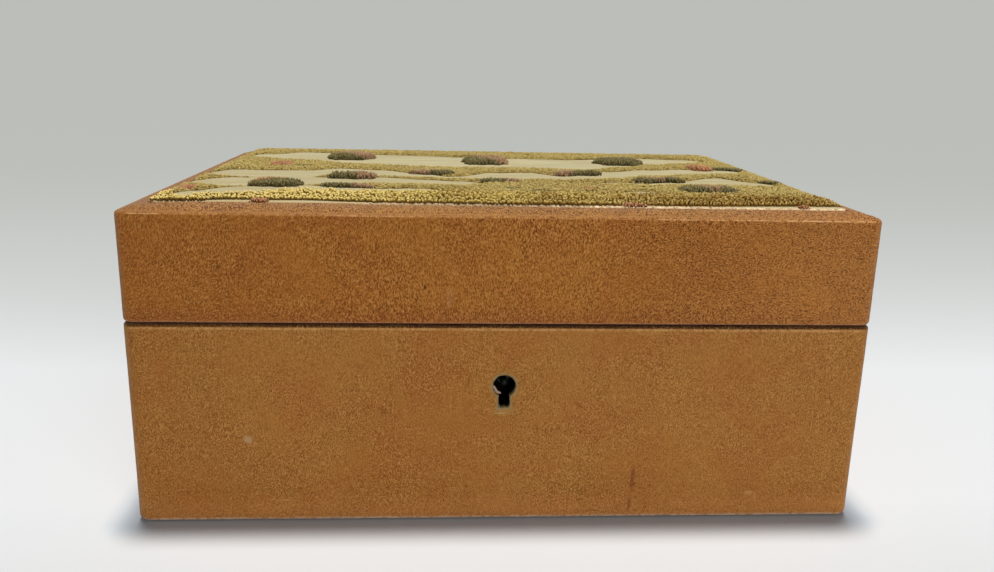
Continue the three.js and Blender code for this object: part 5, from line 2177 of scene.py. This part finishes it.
    def _sprig_table(self, sprig: Sprig, draw: np.random.Generator) -> tuple[np.ndarray, np.ndarray]:
        """Draw every strand of a sprig.

        Args:
            sprig: The sprig.
            draw: The source of its small differences.

        Returns:
            For each strand its X, Y, height, tone and place across the sprig, and whether it takes
            the second colour.
        """
        side = np.arange(-1.1, 1.1, self.strand_spacing / sprig.half_x)
        deep = np.arange(-1.1, 1.1, self.strand_spacing / sprig.half_y)
        across, back = (grid.ravel() for grid in np.meshgrid(side, deep))
        across = across + draw.uniform(-0.5, 0.5, across.size) * self.strand_spacing / sprig.half_x
        back = back + draw.uniform(-0.5, 0.5, back.size) * self.strand_spacing / sprig.half_y
        x = sprig.x + across * sprig.half_x
        y = sprig.y + back * sprig.half_y
        ragged = ripple(np.column_stack([x, y, x * 0]), 2.4 * MM, 8.1) * 0.2
        share = sprig.share(x, y) + ragged
        keep = share < 1
        height = sprig.height * np.sqrt(np.clip(1.02 - np.clip(share, 0, 1) ** 4, 0, 1))
        height *= draw.uniform(0.82, 1.12, x.size)
        table = np.column_stack([x, y, height, draw.uniform(0.1, 1.0, x.size), across])[keep]
        return table, sprig.tinted(across[keep], back[keep]) > draw.uniform(0, 1, keep.sum())

    def _strands(self, name: str, table: np.ndarray, draw: np.random.Generator, finish: Material) -> Piece:
        """Make one piece of cut pile.

        Args:
            name: The piece's name.
            table: For each strand its X, Y, height, tone and place across the sprig.
            draw: The source of its small differences.
            finish: Its material.

        Returns:
            The piece.
        """
        x, y, height, tone, across = table.T
        count = len(x)
        taper = np.array(self.strand_taper)
        share = np.linspace(0, 1, len(taper))[None, :]
        lean_x = draw.normal(0, 0.16, count) + across * 0.12
        lean_y = draw.normal(-0.08, 0.18, count)
        base = self.cloth_height(x, y) - self.root
        lift = share * (height[:, None] + self.root)
        bend = share ** 1.6 * height[:, None]
        lines = np.stack([x[:, None] + lean_x[:, None] * bend, y[:, None] + lean_y[:, None] * bend,
                          base[:, None] + lift], axis=-1)
        turn = draw.uniform(0, 2 * math.pi, count)
        side = np.column_stack([np.cos(turn), np.sin(turn), np.zeros(count)])
        radii = self.strand_radius * (0.8 + 0.4 * tone[:, None]) * taper[None, :]
        return pile_piece(name, lines, side, radii, finish, reach=share, tone=tone[:, None], age=0.0)

    def _frayed_edge(self, draw: np.random.Generator, finish: Material) -> Piece:
        """Make the short loose threads along the cloth's front edge.

        Args:
            draw: The source of their small differences.
            finish: Their material.

        Returns:
            The piece.
        """
        count = self.thread_count
        x = draw.uniform(*self.thread_x_mm, count) * MM
        share = np.linspace(0, 1, 5)[None, :]
        length = draw.uniform(*self.thread_length_mm, count)[:, None] * MM
        heading = draw.normal(0, 0.7, count)[:, None]
        start_z = draw.uniform(*self.thread_z_mm, count)[:, None] * MM
        stray = draw.normal(0, 0.12, count)[:, None] * MM
        line_x = x[:, None] + np.sin(heading) * length * share + stray * share ** 2
        line_y = 0.15 * MM - self.half_y - np.cos(heading) * length * share * 0.55
        line_z = start_z + 0.25 * MM * np.sin(share * math.pi) - 0.45 * MM * share ** 2
        border_z = self.border_z + (line_y + self.half_y) * self.border_slope
        lines = np.stack([line_x, line_y, np.maximum(line_z, border_z)], axis=-1)
        side = np.tile(Vector((0.3, 0.2, 1.0)).normalized(), (count, 1))
        radii = self.thread_radius * draw.uniform(0.7, 1.5, count)[:, None] * np.ones(share.shape)
        tone = draw.uniform(0.2, 1, count)[:, None]
        return pile_piece("frayed_threads", lines, side, radii, finish, reach=0.9, tone=tone, age=0.0)


def border_numbers(rows: int, columns: int) -> np.ndarray:
    """Return the numbers of a grid's outer points, once round."""
    number = np.arange(rows * columns).reshape(rows, columns)
    return np.concatenate([number[0, :-1], number[:-1, -1], number[-1, :0:-1], number[:0:-1, 0]])


def rounded_corners(x: np.ndarray, y: np.ndarray, half_x: float, half_y: float,
                    corner: float) -> tuple[np.ndarray, np.ndarray]:
    """Draw the corners of a rectangle of points in to quarter circles.

    Args:
        x: The points along the first axis.
        y: The points along the second axis.
        half_x: Half the rectangle's size along the first axis.
        half_y: Half its size along the second axis.
        corner: The radius of its corners.

    Returns:
        The points' new places along both axes.
    """
    past_x = np.abs(x) - (half_x - corner)
    past_y = np.abs(y) - (half_y - corner)
    in_corner = (past_x > 0) & (past_y > 0)
    longest = np.maximum(past_x, past_y)
    reach = np.hypot(past_x, past_y)
    shrink = np.where(in_corner, longest / np.maximum(reach, 1e-12), 1.0)
    new_x = np.where(in_corner, np.sign(x) * (half_x - corner + past_x * shrink), x)
    new_y = np.where(in_corner, np.sign(y) * (half_y - corner + past_y * shrink), y)
    return new_x, new_y


# Soft forms inside the box

CARD_EDGE = 0.65 * MM


@dataclass
class SoftForm:
    """A covered card, board or cushion: two crowned faces that meet in a soft rim."""

    name: str
    low: tuple[float, float, float]
    high: tuple[float, float, float]
    thin: Axis
    edge: float = 0.7 * MM
    corner: float = 0.8 * MM
    crown: float = 0.0
    crown_side: int = 1
    pull: float = 0.0
    spacing: float = 2 * MM
    ruffle: float = 0.0
    ruffle_size: float = 8 * MM
    flat_back: bool = False
    back_edge: float = 0.3 * MM
    seed: float = 1.0
    merge_below: float = 1e-6
    least_cells: int = 6
    closing_up: float = 1.35

    def points(self) -> tuple[np.ndarray, int, int]:
        """Set out the form's two faces.

        Returns:
            The points of the front and the back, and the rows and columns of each.
        """
        low = np.array(self.low)
        high = np.array(self.high)
        wide_axis, tall_axis = [axis for axis in range(3) if axis != self.thin.value]
        half_u = (high - low)[wide_axis] / 2
        half_v = (high - low)[tall_axis] / 2
        half_t = (high - low)[self.thin.value] / 2
        u, v = np.meshgrid(self._shares(half_u), self._shares(half_v))
        x, y = rounded_corners(u * half_u, v * half_v, half_u, half_v, min(self.corner, half_u, half_v))
        rim = np.minimum((1 - np.abs(u)) * half_u, (1 - np.abs(v)) * half_v)
        fall = np.clip(1 - rim / self.edge, 0, 1)
        rise = np.sqrt(np.clip(1 - fall ** 2, 0, 1))
        x = x - self.pull * np.sign(u) * u ** 4 * (1 - v ** 2)
        y = y - self.pull * np.sign(v) * v ** 4 * (1 - u ** 2)
        body = half_t - self.crown / 2
        middle = -self.crown_side * self.crown / 2
        places = np.column_stack([x.ravel(), y.ravel(), np.zeros(x.size)])
        waver = ripple(places, self.ruffle_size, self.seed).reshape(x.shape) * self.ruffle * rise
        crowned = (1 - u ** 2) * (1 - v ** 2)
        faces = []
        for side in (1, -1):
            height = middle + side * body * rise
            if side == self.crown_side:
                height = height + side * (self.crown * crowned ** 0.6 * rise + waver)
            elif self.flat_back:
                height = middle + side * body * np.minimum(1, rim / self.back_edge + 0.001)
            grid = np.empty(x.shape + (3,))
            grid[..., wide_axis] = x + (low + high)[wide_axis] / 2
            grid[..., tall_axis] = y + (low + high)[tall_axis] / 2
            grid[..., self.thin.value] = height + (low + high)[self.thin.value] / 2
            faces.append(grid)
        faces[1][border_mask(*x.shape)] = faces[0][border_mask(*x.shape)]
        return np.vstack([face.reshape(-1, 3) for face in faces]), *x.shape

    def _shares(self, half: float) -> np.ndarray:
        """Return places from -1 to 1 that close up towards both ends."""
        even = np.linspace(-1, 1, max(self.least_cells, round(half * 2 / self.spacing)) + 1)
        return np.sign(even) * (1 - (1 - np.abs(even)) ** self.closing_up)

    def build(self, finish: Material) -> Piece:
        """Make the form as a closed piece.

        Args:
            finish: Its material.

        Returns:
            The piece.
        """
        points, rows, columns = self.points()
        front = grid_faces(rows, columns)
        faces = np.vstack([front, front[:, ::-1] + rows * columns])
        piece = new_piece(self.name, points, facing_out(points, faces))
        rework(piece, lambda body: bmesh.ops.remove_doubles(body, verts=body.verts, dist=self.merge_below))
        piece.data.materials.append(finish)
        return piece


def border_mask(rows: int, columns: int) -> np.ndarray:
    """Pick the points of a grid that lie on its border.

    Args:
        rows: How many rows of points there are.
        columns: How many points a row has.

    Returns:
        Whether each point is one of them.
    """
    mask = np.zeros((rows, columns), bool)
    mask[[0, -1], :] = True
    mask[:, [0, -1]] = True
    return mask


def node_box(name: str, shrink: float = 0.0) -> tuple[tuple[float, ...], tuple[float, ...]]:
    """Return a node's two corners, drawn in by a hair."""
    low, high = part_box(name)
    return tuple(value + shrink for value in low), tuple(value - shrink for value in high)


def line_walls(body: Body, prefix: str, ruffle: float, velvet: Material) -> None:
    """Make and seat the four velvet cards that line a body's walls.

    Args:
        body: The body.
        prefix: What the cards' names start with.
        ruffle: How far their faces waver.
        velvet: Their material.
    """
    for side, thin, crown_side in (("front", Axis.Y, 1), ("back", Axis.Y, -1), ("left", Axis.X, 1),
                                   ("right", Axis.X, -1)):
        node = f"{prefix}{side}_lining"
        form = SoftForm(f"{prefix}{side}_velvet", *node_box(node), thin, edge=CARD_EDGE, ruffle=ruffle,
                        crown_side=crown_side)
        seat(form.build(velvet), body, Slot.VELVET, node)


@dataclass
class BaseInterior:
    """What lines and fills the base: velvet cards, dividers, ring cushion and pads."""

    card_ruffle: float = 0.06 * MM
    board_edge: float = 1.45 * MM
    roll_count: int = 4
    roll_end: float = 5 * MM
    roll_stations: int = 84
    roll_around: int = 30
    roll_end_size: float = 0.38
    roll_pitch: float = 18 * MM
    roll_pinch: float = 0.012
    roll_slack: float = 0.02
    roll_softness: float = 8 * MM

    def build(self, velvet: Material) -> None:
        """Make and seat every piece.

        Args:
            velvet: Their material.
        """
        line_walls(Body.BASE, "", self.card_ruffle, velvet)
        for node, thin in (("main_divider", Axis.X), ("cross_divider", Axis.Y)):
            form = SoftForm(f"{node}_velvet", *node_box(node), thin, edge=self.board_edge, corner=1.6 * MM,
                            spacing=1.4 * MM, ruffle=0.08 * MM)
            seat(form.build(velvet), Body.BASE, Slot.VELVET_WOOD, node)
        bed = SoftForm("ring_bed_velvet", *node_box("ring_bed"), Axis.Z, edge=1.2 * MM, corner=1.5 * MM)
        seat(bed.build(velvet), Body.BASE, Slot.VELVET_WOOD, "ring_bed")
        for number in range(1, self.roll_count + 1):
            self._roll(number, velvet)
        for node, seed in (("front_pad", 4.0), ("rear_pad", 9.0)):
            form = SoftForm(f"{node}_velvet", *node_box(node, -0.05 * MM), Axis.Z, edge=2.2 * MM,
                            corner=1.2 * MM, crown=1.2 * MM, pull=0.05 * MM, spacing=1.6 * MM,
                            ruffle=0.35 * MM, seed=seed, ruffle_size=16 * MM, flat_back=True)
            piece = form.build(velvet)
            seat(piece, Body.BASE, Slot.VELVET, node)

    def _roll(self, number: int, velvet: Material) -> None:
        """Make and seat one stuffed ring roll, flat underneath and rounded at its ends.

        Args:
            number: Which roll it is, from the left.
            velvet: Its material.
        """
        node = f"ring_roll_{number}"
        low, high = node_box(node)
        share = np.linspace(0, 1, self.roll_stations)
        length = high[1] - low[1]
        from_end = np.minimum(share, 1 - share) * length
        swelling = np.sqrt(np.clip(1 - (1 - np.minimum(from_end / self.roll_end, 1)) ** 2, 0, 1))
        size = swelling * (1 - self.roll_end_size) + self.roll_end_size
        angle = np.linspace(0, math.pi, self.roll_around)
        half = (high[0] - low[0]) / 2
        across = np.sign(np.cos(angle)) * np.abs(np.cos(angle)) ** 0.72 * half
        up = np.sin(angle) ** 0.5 * (high[2] - low[2])
        x = size[:, None] * across[None, :]
        z = size[:, None] * up[None, :]
        y = np.broadcast_to((low[1] + share * length)[:, None], x.shape)
        places = np.column_stack([x.ravel() + number * 30 * MM, y.ravel(), z.ravel()])
        waver = ripple(places, 7 * MM, number) * 0.35 * MM + ripple(places, 2.5 * MM, number + 3) * 0.12 * MM
        stitch = np.maximum(0, np.cos(share * length / self.roll_pitch * 2 * math.pi))
        pinch = 1 - self.roll_pinch * stitch[:, None] ** 6
        inward = 1 - (self.roll_slack + waver.reshape(x.shape) / self.roll_softness)
        x = x * inward * pinch + (low[0] + high[0]) / 2
        z = z * np.clip(inward * pinch, 0, 1) + low[2]
        points = np.stack([x, y, z], axis=-1).reshape(-1, 3)
        walls = grid_faces(self.roll_stations, self.roll_around, False, True)
        piece = new_piece(f"{node}_velvet", points, walls)
        rework(piece, lambda body: bmesh.ops.holes_fill(body, edges=body.edges))
        piece.data.materials.append(velvet)
        seat(piece, Body.BASE, Slot.VELVET, node)


@dataclass
class LidInterior:
    """What lines the lid: four velvet cards and a stuffed satin pad."""

    card_ruffle: float = 0.05 * MM

    def build(self, velvet: Material, satin: Material) -> None:
        """Make and seat every piece.

        Args:
            velvet: The cards' material.
            satin: The pad's material.
        """
        line_walls(Body.LID, "lid_", self.card_ruffle, velvet)
        form = SoftForm("lid_satin_pad", *node_box("lid_pad", 0.05 * MM), Axis.Z, edge=4 * MM, corner=2 * MM,
                        crown=1.8 * MM, crown_side=-1, pull=0.15 * MM, spacing=1.5 * MM, ruffle=0.5 * MM,
                        ruffle_size=13 * MM, flat_back=True, seed=6.0)
        piece = form.build(satin)
        seat(piece, Body.LID, Slot.SATIN, "lid_pad")


@dataclass
class FeltFoot:
    """The felt under the base."""

    edge: float = 0.5 * MM

    def build(self, felt: Material) -> None:
        """Make and seat the felt.

        Args:
            felt: Its material.
        """
        low, high = node_box("bottom_felt")
        form = SoftForm("foot_felt", low, high, Axis.Z, edge=self.edge, corner=0.6 * MM, spacing=2 * MM)
        piece = form.build(felt)
        seat(piece, Body.BASE, Slot.FELT, "bottom_felt")


# Nodes that keep their own shape


@dataclass
class FittedNodes:
    """The wooden carcass and the metal fittings, which get finishes and eased edges."""

    wood_ease: float = 0.25 * MM
    metal_ease: float = 0.1 * MM
    ease_steps: int = 2
    ease_from: float = math.radians(40)

    def dress(self, nodes: list[str], finish: Material, ease: float) -> None:
        """Give nodes a finish and ease their edges.

        Args:
            nodes: The nodes' names.
            finish: Their material.
            ease: How far their edges are rounded.
        """
        for name in nodes:
            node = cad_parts[name]
            node.data.materials.clear()
            node.data.materials.append(finish)
            easing = node.modifiers.new("eased_edges", "BEVEL")
            easing.width = ease
            easing.segments = self.ease_steps
            easing.limit_method = "ANGLE"
            easing.angle_limit = self.ease_from
            easing.harden_normals = False
            log.info("%s keeps its shape, with the finish %s", name, finish.name)

    def dress_all(self, finishes: dict[str, Material]) -> None:
        """Dress the carcass, the hinges and the lock.

        Args:
            finishes: The materials by what they are for.
        """
        long_way = ["bottom_board", "lid_top_board", "back_wall", "lid_front_wall", "lid_back_wall"]
        short_way = ["left_wall", "right_wall", "lid_left_wall", "lid_right_wall"]
        self.dress(long_way, finishes["wood_long"], self.wood_ease)
        self.dress(["front_wall"], finishes["wood_keyhole"], self.wood_ease)
        self.dress(short_way, finishes["wood_short"], self.wood_ease)
        steel = ["drill_pin", "lock_bolt"]
        brass = [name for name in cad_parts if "leaf" in name or "screw" in name or "hinge_pin" in name]
        self.dress(sorted(brass) + ["link_plate"], finishes["brass"], self.metal_ease)
        self.dress(["lock_plate", "lock_case"], finishes["lock_brass"], self.metal_ease)
        self.dress(steel, finishes["steel"], self.metal_ease)


# Studio


@dataclass(frozen=True)
class PhotoCamera:
    """The camera of the photograph, fitted to the box's edges."""

    place: tuple[float, float, float] = (-16.196 * MM, -295.340 * MM, 124.039 * MM)
    yaw: float = 0.0616250
    pitch: float = 0.2492875
    roll: float = 0.0223287
    focal_pixels: float = 870.979
    photo_width: int = 994
    sensor: float = 36.0
    nearest: float = 0.01
    farthest: float = 50

    def build(self) -> Piece:
        """Make the camera and let the scene look through it.

        Returns:
            The camera.
        """
        ahead = Vector((math.sin(self.yaw) * math.cos(self.pitch), math.cos(self.yaw) * math.cos(self.pitch),
                        -math.sin(self.pitch)))
        level = Vector((math.cos(self.yaw), -math.sin(self.yaw), 0))
        upright = level.cross(ahead)
        right = level * math.cos(self.roll) + upright * math.sin(self.roll)
        up = upright * math.cos(self.roll) - level * math.sin(self.roll)
        data = bpy.data.cameras.new("photo_camera")
        data.sensor_fit = "HORIZONTAL"
        data.sensor_width = self.sensor
        data.lens = self.focal_pixels * self.sensor / self.photo_width
        data.clip_start = self.nearest
        data.clip_end = self.farthest
        camera = put_in_scene("photo_camera", data)
        turn = Matrix((right, up, -ahead)).transposed().to_4x4()
        camera.matrix_world = Matrix.Translation(Vector(self.place)) @ turn
        bpy.context.scene.camera = camera
        return camera


def hang_light(kind: str, name: str, place: Vector, toward: Vector, energy: float,
               **settings: object) -> None:
    """Put a light in the scene.

    Args:
        kind: The light's type.
        name: Its name.
        place: Where it hangs.
        toward: The direction that it shines in.
        energy: Its strength.
        settings: The other settings of its kind.
    """
    data = bpy.data.lights.new(name, kind)
    data.energy = energy
    for setting, value in settings.items():
        setattr(data, setting, value)
    light = put_in_scene(name, data)
    light.location = place
    light.rotation_euler = toward.to_track_quat("-Z", "Y").to_euler()


@dataclass(frozen=True)
class Softbox:
    """A square studio light that faces a place."""

    name: str
    place: tuple[float, float, float]
    aim: tuple[float, float, float]
    size: float
    watts: float

    def build(self) -> None:
        """Hang the light."""
        place = Vector(self.place)
        hang_light("AREA", self.name, place, Vector(self.aim) - place, self.watts, shape="SQUARE",
                   size=self.size)


@dataclass(frozen=True)
class CeilingLight:
    """A soft light high overhead, tilted a little so that it comes from behind the box."""

    tilt: float = math.radians(5.5)
    spread: float = math.radians(8.5)
    strength: float = 2.52

    def build(self) -> None:
        """Hang the light."""
        toward = Vector((0, -math.sin(self.tilt), -math.cos(self.tilt)))
        hang_light("SUN", "ceiling_light", -2 * toward, toward, self.strength, angle=self.spread)


@dataclass
class Studio:
    """A pale floor that runs out to a grey surround, with soft lights."""

    surround: Colour
    floor_half: float = 8.0
    floor_points: int = 33
    surround_light: float = 0.11
    ceiling: CeilingLight = CeilingLight()
    front: Softbox = Softbox("front_softbox", (0.45, -1.3, 0.24), (0, 0, 0.06), 0.9, 10.5)

    def build(self, finish: Material) -> None:
        """Make the floor, the lights and the surround.

        Args:
            finish: The floor's material.
        """
        ticks = np.linspace(-self.floor_half, self.floor_half, self.floor_points)
        x, y = (grid.ravel() for grid in np.meshgrid(ticks, ticks))
        floor = new_piece("studio_floor", np.column_stack([x, y, 0 * x]), grid_faces(len(ticks), len(ticks)))
        floor.data.materials.append(finish)
        self.ceiling.build()
        self.front.build()
        self._surround()
        bpy.context.scene.view_settings.view_transform = "Standard"

    def _surround(self) -> None:
        """Show the surround in its own grey where it is looked at, and let it shine dimly elsewhere."""
        world = bpy.data.worlds.new("studio_surround")
        board = Board(world)
        board.shade(color=(1.0, 1.0, 1.0, 1.0), strength=self.surround_light)
        board.show_plainly(self.surround, kind="ShaderNodeBackground")
        bpy.context.scene.world = world


# The finishes of this box

# Pale tan of the lid's crease: rubbed wear with a painted highlight.
WORN_LIT_TAN = dyed(240, 190, 134)

LID_LEATHER = LeatherFinish(
    name="lid_leather_finish", tan=dyed(162, 98, 29), pale=dyed(174, 112, 38), ruddy=dyed(156, 85, 24),
    groove=dyed(96, 46, 5), fleck=dyed(200, 141, 76), half_width=100 * MM, half_depth=75 * MM,
    middle_z=72 * MM, top=86.2 * MM,
    edges=(
        # The crease's broken pale line: rubbed wear with a painted highlight where the rounded edge catches
        # the light.
        WornLitEdge(86.05 * MM, 0.45 * MM, WORN_LIT_TAN,
                 ((-98 * MM, -87 * MM, 0.9), (-46 * MM, -22 * MM, 0.7), (38 * MM, 72 * MM, 0.75),
                  (72 * MM, 98 * MM, 1.0)), 0.3),
    ),
    zones=(
        # The two paler zones above the crease are painted sheen on the upward-facing border.
        LeatherZone(85.9 * MM, 86.25 * MM, dyed(190, 138, 72), 0.6),
        LeatherZone(86.8 * MM, 87.7 * MM, dyed(172, 138, 104), 0.45),
        LeatherZone(64 * MM, 58 * MM, dyed(136, 72, 30), 0.5),
        # A lighter band on the rim's bend: painted light against the shade there.
        LeatherZone(58.2 * MM, 57.6 * MM, dyed(186, 128, 96), 0.55),
        # The darkest band at the lid's rim: painted shade in the seam.
        LeatherZone(57.42 * MM, 57.25 * MM, dyed(40, 14, 4), 0.9),
        # Darker to the left and lighter to the right: painted light and shade as the light falls across the
        # front.
        LeatherZone(-5 * MM, -95 * MM, dyed(134, 74, 24), 0.3, Axis.X),
        LeatherZone(35 * MM, 95 * MM, dyed(192, 122, 54), 0.6, Axis.X),
    ),
    marks=(
        LeatherMark(-74.1 * MM, 72.3 * MM, 0.6 * MM, 0.7 * MM, dyed(96, 52, 18), 0.8),
        LeatherMark(-21.4 * MM, 67.4 * MM, 0.35 * MM, 0.75 * MM, dyed(78, 38, 12), 0.95),
        LeatherMark(-15 * MM, 65 * MM, 1.2 * MM, 3 * MM, dyed(186, 134, 84), 0.3),
    ))

BASE_LEATHER = LeatherFinish(
    name="base_leather_finish", tan=dyed(158, 101, 38), pale=dyed(168, 116, 50), ruddy=dyed(155, 90, 34),
    groove=dyed(106, 56, 10), fleck=dyed(200, 147, 82), half_width=100 * MM, half_depth=75 * MM,
    middle_z=30 * MM, bolder_right=0.0, groove_share=0.76, grain_width=0.3 * MM, grain_stretch=1.7,
    lean_left=0.1, lean_right=0.1, lean_drift=0.8, grain_depth=0.05 * MM,
    edges=(
        # The pale line under the seam: rubbed wear with a painted highlight on the rim's upward bend.
        WornLitEdge(55.9 * MM, 0.5 * MM, dyed(206, 156, 98), ((-97 * MM, 97 * MM, 0.65),), 0.45),
        # The pale line along the foot: rubbed wear with a painted reflection of the pale floor.
        WornLitEdge(0.5 * MM, 1.4 * MM, dyed(224, 192, 160), ((-97 * MM, 97 * MM, 0.9),), 0.7),
    ),
    zones=(
        # A lighter low band: painted light against the shade near the floor.
        LeatherZone(10 * MM, 2 * MM, dyed(192, 126, 66), 0.65),
        # The dark band at the top of the base's rim: painted shade in the seam.
        LeatherZone(56.1 * MM, 56.4 * MM, dyed(34, 10, 2), 0.92),
        # Darker to the left: painted shade as the light falls across the front.
        LeatherZone(-40 * MM, -98 * MM, dyed(140, 84, 30), 0.2, Axis.X),
    ),
    marks=(
        LeatherMark(0.2 * MM, 33.0 * MM, 3.6 * MM, 1.6 * MM, dyed(168, 136, 76), 0.4),
        LeatherMark(-0.6 * MM, 32.2 * MM, 2.6 * MM, 0.2 * MM, dyed(214, 180, 118), 0.4),
        LeatherMark(-68.8 * MM, 24.6 * MM, 1.5 * MM, 1.4 * MM, dyed(180, 148, 104), 0.7),
        LeatherMark(36.6 * MM, 12.5 * MM, 0.7 * MM, 4.6 * MM, dyed(116, 60, 24), 0.65),
        LeatherMark(36 * MM, 5 * MM, 0.6 * MM, 3.4 * MM, dyed(122, 66, 26), 0.6),
        LeatherMark(-59.7 * MM, 6.7 * MM, 3.5 * MM, 0.4 * MM, dyed(188, 138, 88), 0.4),
        LeatherMark(70 * MM, 8 * MM, 1.8 * MM, 0.8 * MM, dyed(198, 152, 104), 0.45),
    ),
    keyhole=KeyholeWear(40 * MM, 3.1 * MM, 1.475 * MM, 33.9 * MM, dyed(92, 76, 46), dyed(146, 128, 92),
                        dyed(150, 116, 54)))

RAW_LEATHER = PlainLeatherFinish("cut_leather_edge", dyed(120, 92, 58), dyed(72, 50, 28))
SLIVER_LEATHER = PlainLeatherFinish("torn_sliver_leather", dyed(196, 164, 144), dyed(146, 116, 98), 0.7)

# Pile colours: painted shade at the root, the yarn's body, a painted highlight at the tip, and the aged
# colour.
FRONT_GOLD_PILE = PileFinish("front_gold_loop_pile", dyed(92, 64, 14), dyed(186, 154, 64),
                             dyed(250, 224, 136), dyed(132, 84, 4), 0.3)
GOLD_PILE = PileFinish("gold_loop_pile", dyed(128, 102, 38), dyed(173, 148, 74), dyed(216, 192, 116),
                       dyed(146, 116, 54), 0.3)
GREEN_PILE = PileFinish("green_cut_pile", dyed(60, 54, 24), dyed(112, 98, 50), dyed(160, 150, 98),
                        dyed(72, 64, 28), 0.4)
MAUVE_PILE = PileFinish("mauve_cut_pile", dyed(80, 60, 38), dyed(168, 130, 92), dyed(206, 168, 130),
                        dyed(112, 86, 56), 0.4)
SALMON_PILE = PileFinish("salmon_cut_pile", dyed(110, 62, 34), dyed(190, 130, 84), dyed(224, 170, 124),
                         dyed(160, 104, 60), 0.35)
FRAYED_THREAD = PileFinish("frayed_cotton", dyed(206, 176, 132), dyed(238, 208, 162), dyed(252, 228, 186),
                           dyed(212, 180, 134), 0.3)
GROUND_CLOTH = GroundClothFinish("ribbed_ground_cloth", pale=dyed(217, 204, 158), dull=dyed(190, 172, 122),
                                 green=dyed(198, 192, 150), under=dyed(132, 102, 44),
                                 under_rear=dyed(140, 116, 60), hem=dyed(252, 224, 178),
                                 hem_dull=dyed(206, 172, 122))
OLIVE_VELVET = VelvetFinish("olive_velvet", dyed(112, 114, 62), dyed(78, 80, 40), dyed(150, 150, 98))
IVORY_SATIN = SatinFinish("ivory_satin", dyed(226, 212, 178), dyed(188, 164, 120))
COTTON_WADDING = FeltFinish("cotton_wadding", dyed(206, 194, 168), dyed(230, 222, 202))
FOOT_FELT = FeltFinish("brown_felt", dyed(74, 58, 42), dyed(112, 92, 70))
AGED_BRASS = MetalFinish("aged_brass", dyed(202, 164, 92), dyed(122, 88, 44), 0.26)
# The lock's brass carries painted shade inside the case, below the rim.
LOCK_BRASS = MetalFinish("lock_brass", dyed(190, 152, 84), dyed(112, 80, 40), 0.32, 0.7,
                         case_shade=dyed(18, 16, 13))
DARK_STEEL = MetalFinish("dark_steel", dyed(66, 72, 64), dyed(22, 24, 21), 0.5, 0.8)
CARCASS_WOOD = dyed(206, 170, 122)
LATE_WOOD = dyed(164, 120, 76)
# The front wall's wood carries painted shade round the keyhole.
KEYHOLE_WOOD = WoodFinish("carcass_wood_keyhole", CARCASS_WOOD, LATE_WOOD, Axis.X, dyed(10, 8, 6))
SURROUND_GREY = dyed(188, 190, 185)
STUDIO_FLOOR = FloorFinish("studio_paper", dyed(237, 239, 240), SURROUND_GREY)


def main() -> None:
    """Dress the box from its carcass outwards, and set up the studio."""
    logging.basicConfig(level=logging.INFO, format="%(name)s: %(message)s")
    velvet = OLIVE_VELVET.material()
    raw = RAW_LEATHER.material()
    FittedNodes().dress_all({
        "wood_long": WoodFinish("carcass_wood_long", CARCASS_WOOD, LATE_WOOD, Axis.X).material(),
        "wood_short": WoodFinish("carcass_wood_short", CARCASS_WOOD, LATE_WOOD, Axis.Y).material(),
        "wood_keyhole": KEYHOLE_WOOD.material(),
        "brass": AGED_BRASS.material(),
        "lock_brass": LOCK_BRASS.material(),
        "steel": DARK_STEEL.material(),
    })
    base_cover = BaseCover()
    base_leather = BASE_LEATHER.material()
    base_cover.build(base_leather, raw)
    base_cover.build_lip(base_leather)
    base_cover.build_flap(SLIVER_LEATHER.material())
    LidCover().build(LID_LEATHER.material(), raw)
    TextilePanel().build({
        "gold": GOLD_PILE.material(),
        "front_gold": FRONT_GOLD_PILE.material(),
        "green": GREEN_PILE.material(),
        "mauve": MAUVE_PILE.material(),
        "salmon": SALMON_PILE.material(),
        "fray": FRAYED_THREAD.material(),
        "ground": GROUND_CLOTH.material(),
        "wadding": COTTON_WADDING.material(),
    })
    BaseInterior().build(velvet)
    LidInterior().build(velvet, IVORY_SATIN.material())
    FeltFoot().build(FOOT_FELT.material())
    PhotoCamera().build()
    Studio(SURROUND_GREY).build(STUDIO_FLOOR.material())


if __name__ == "__main__":
    main()
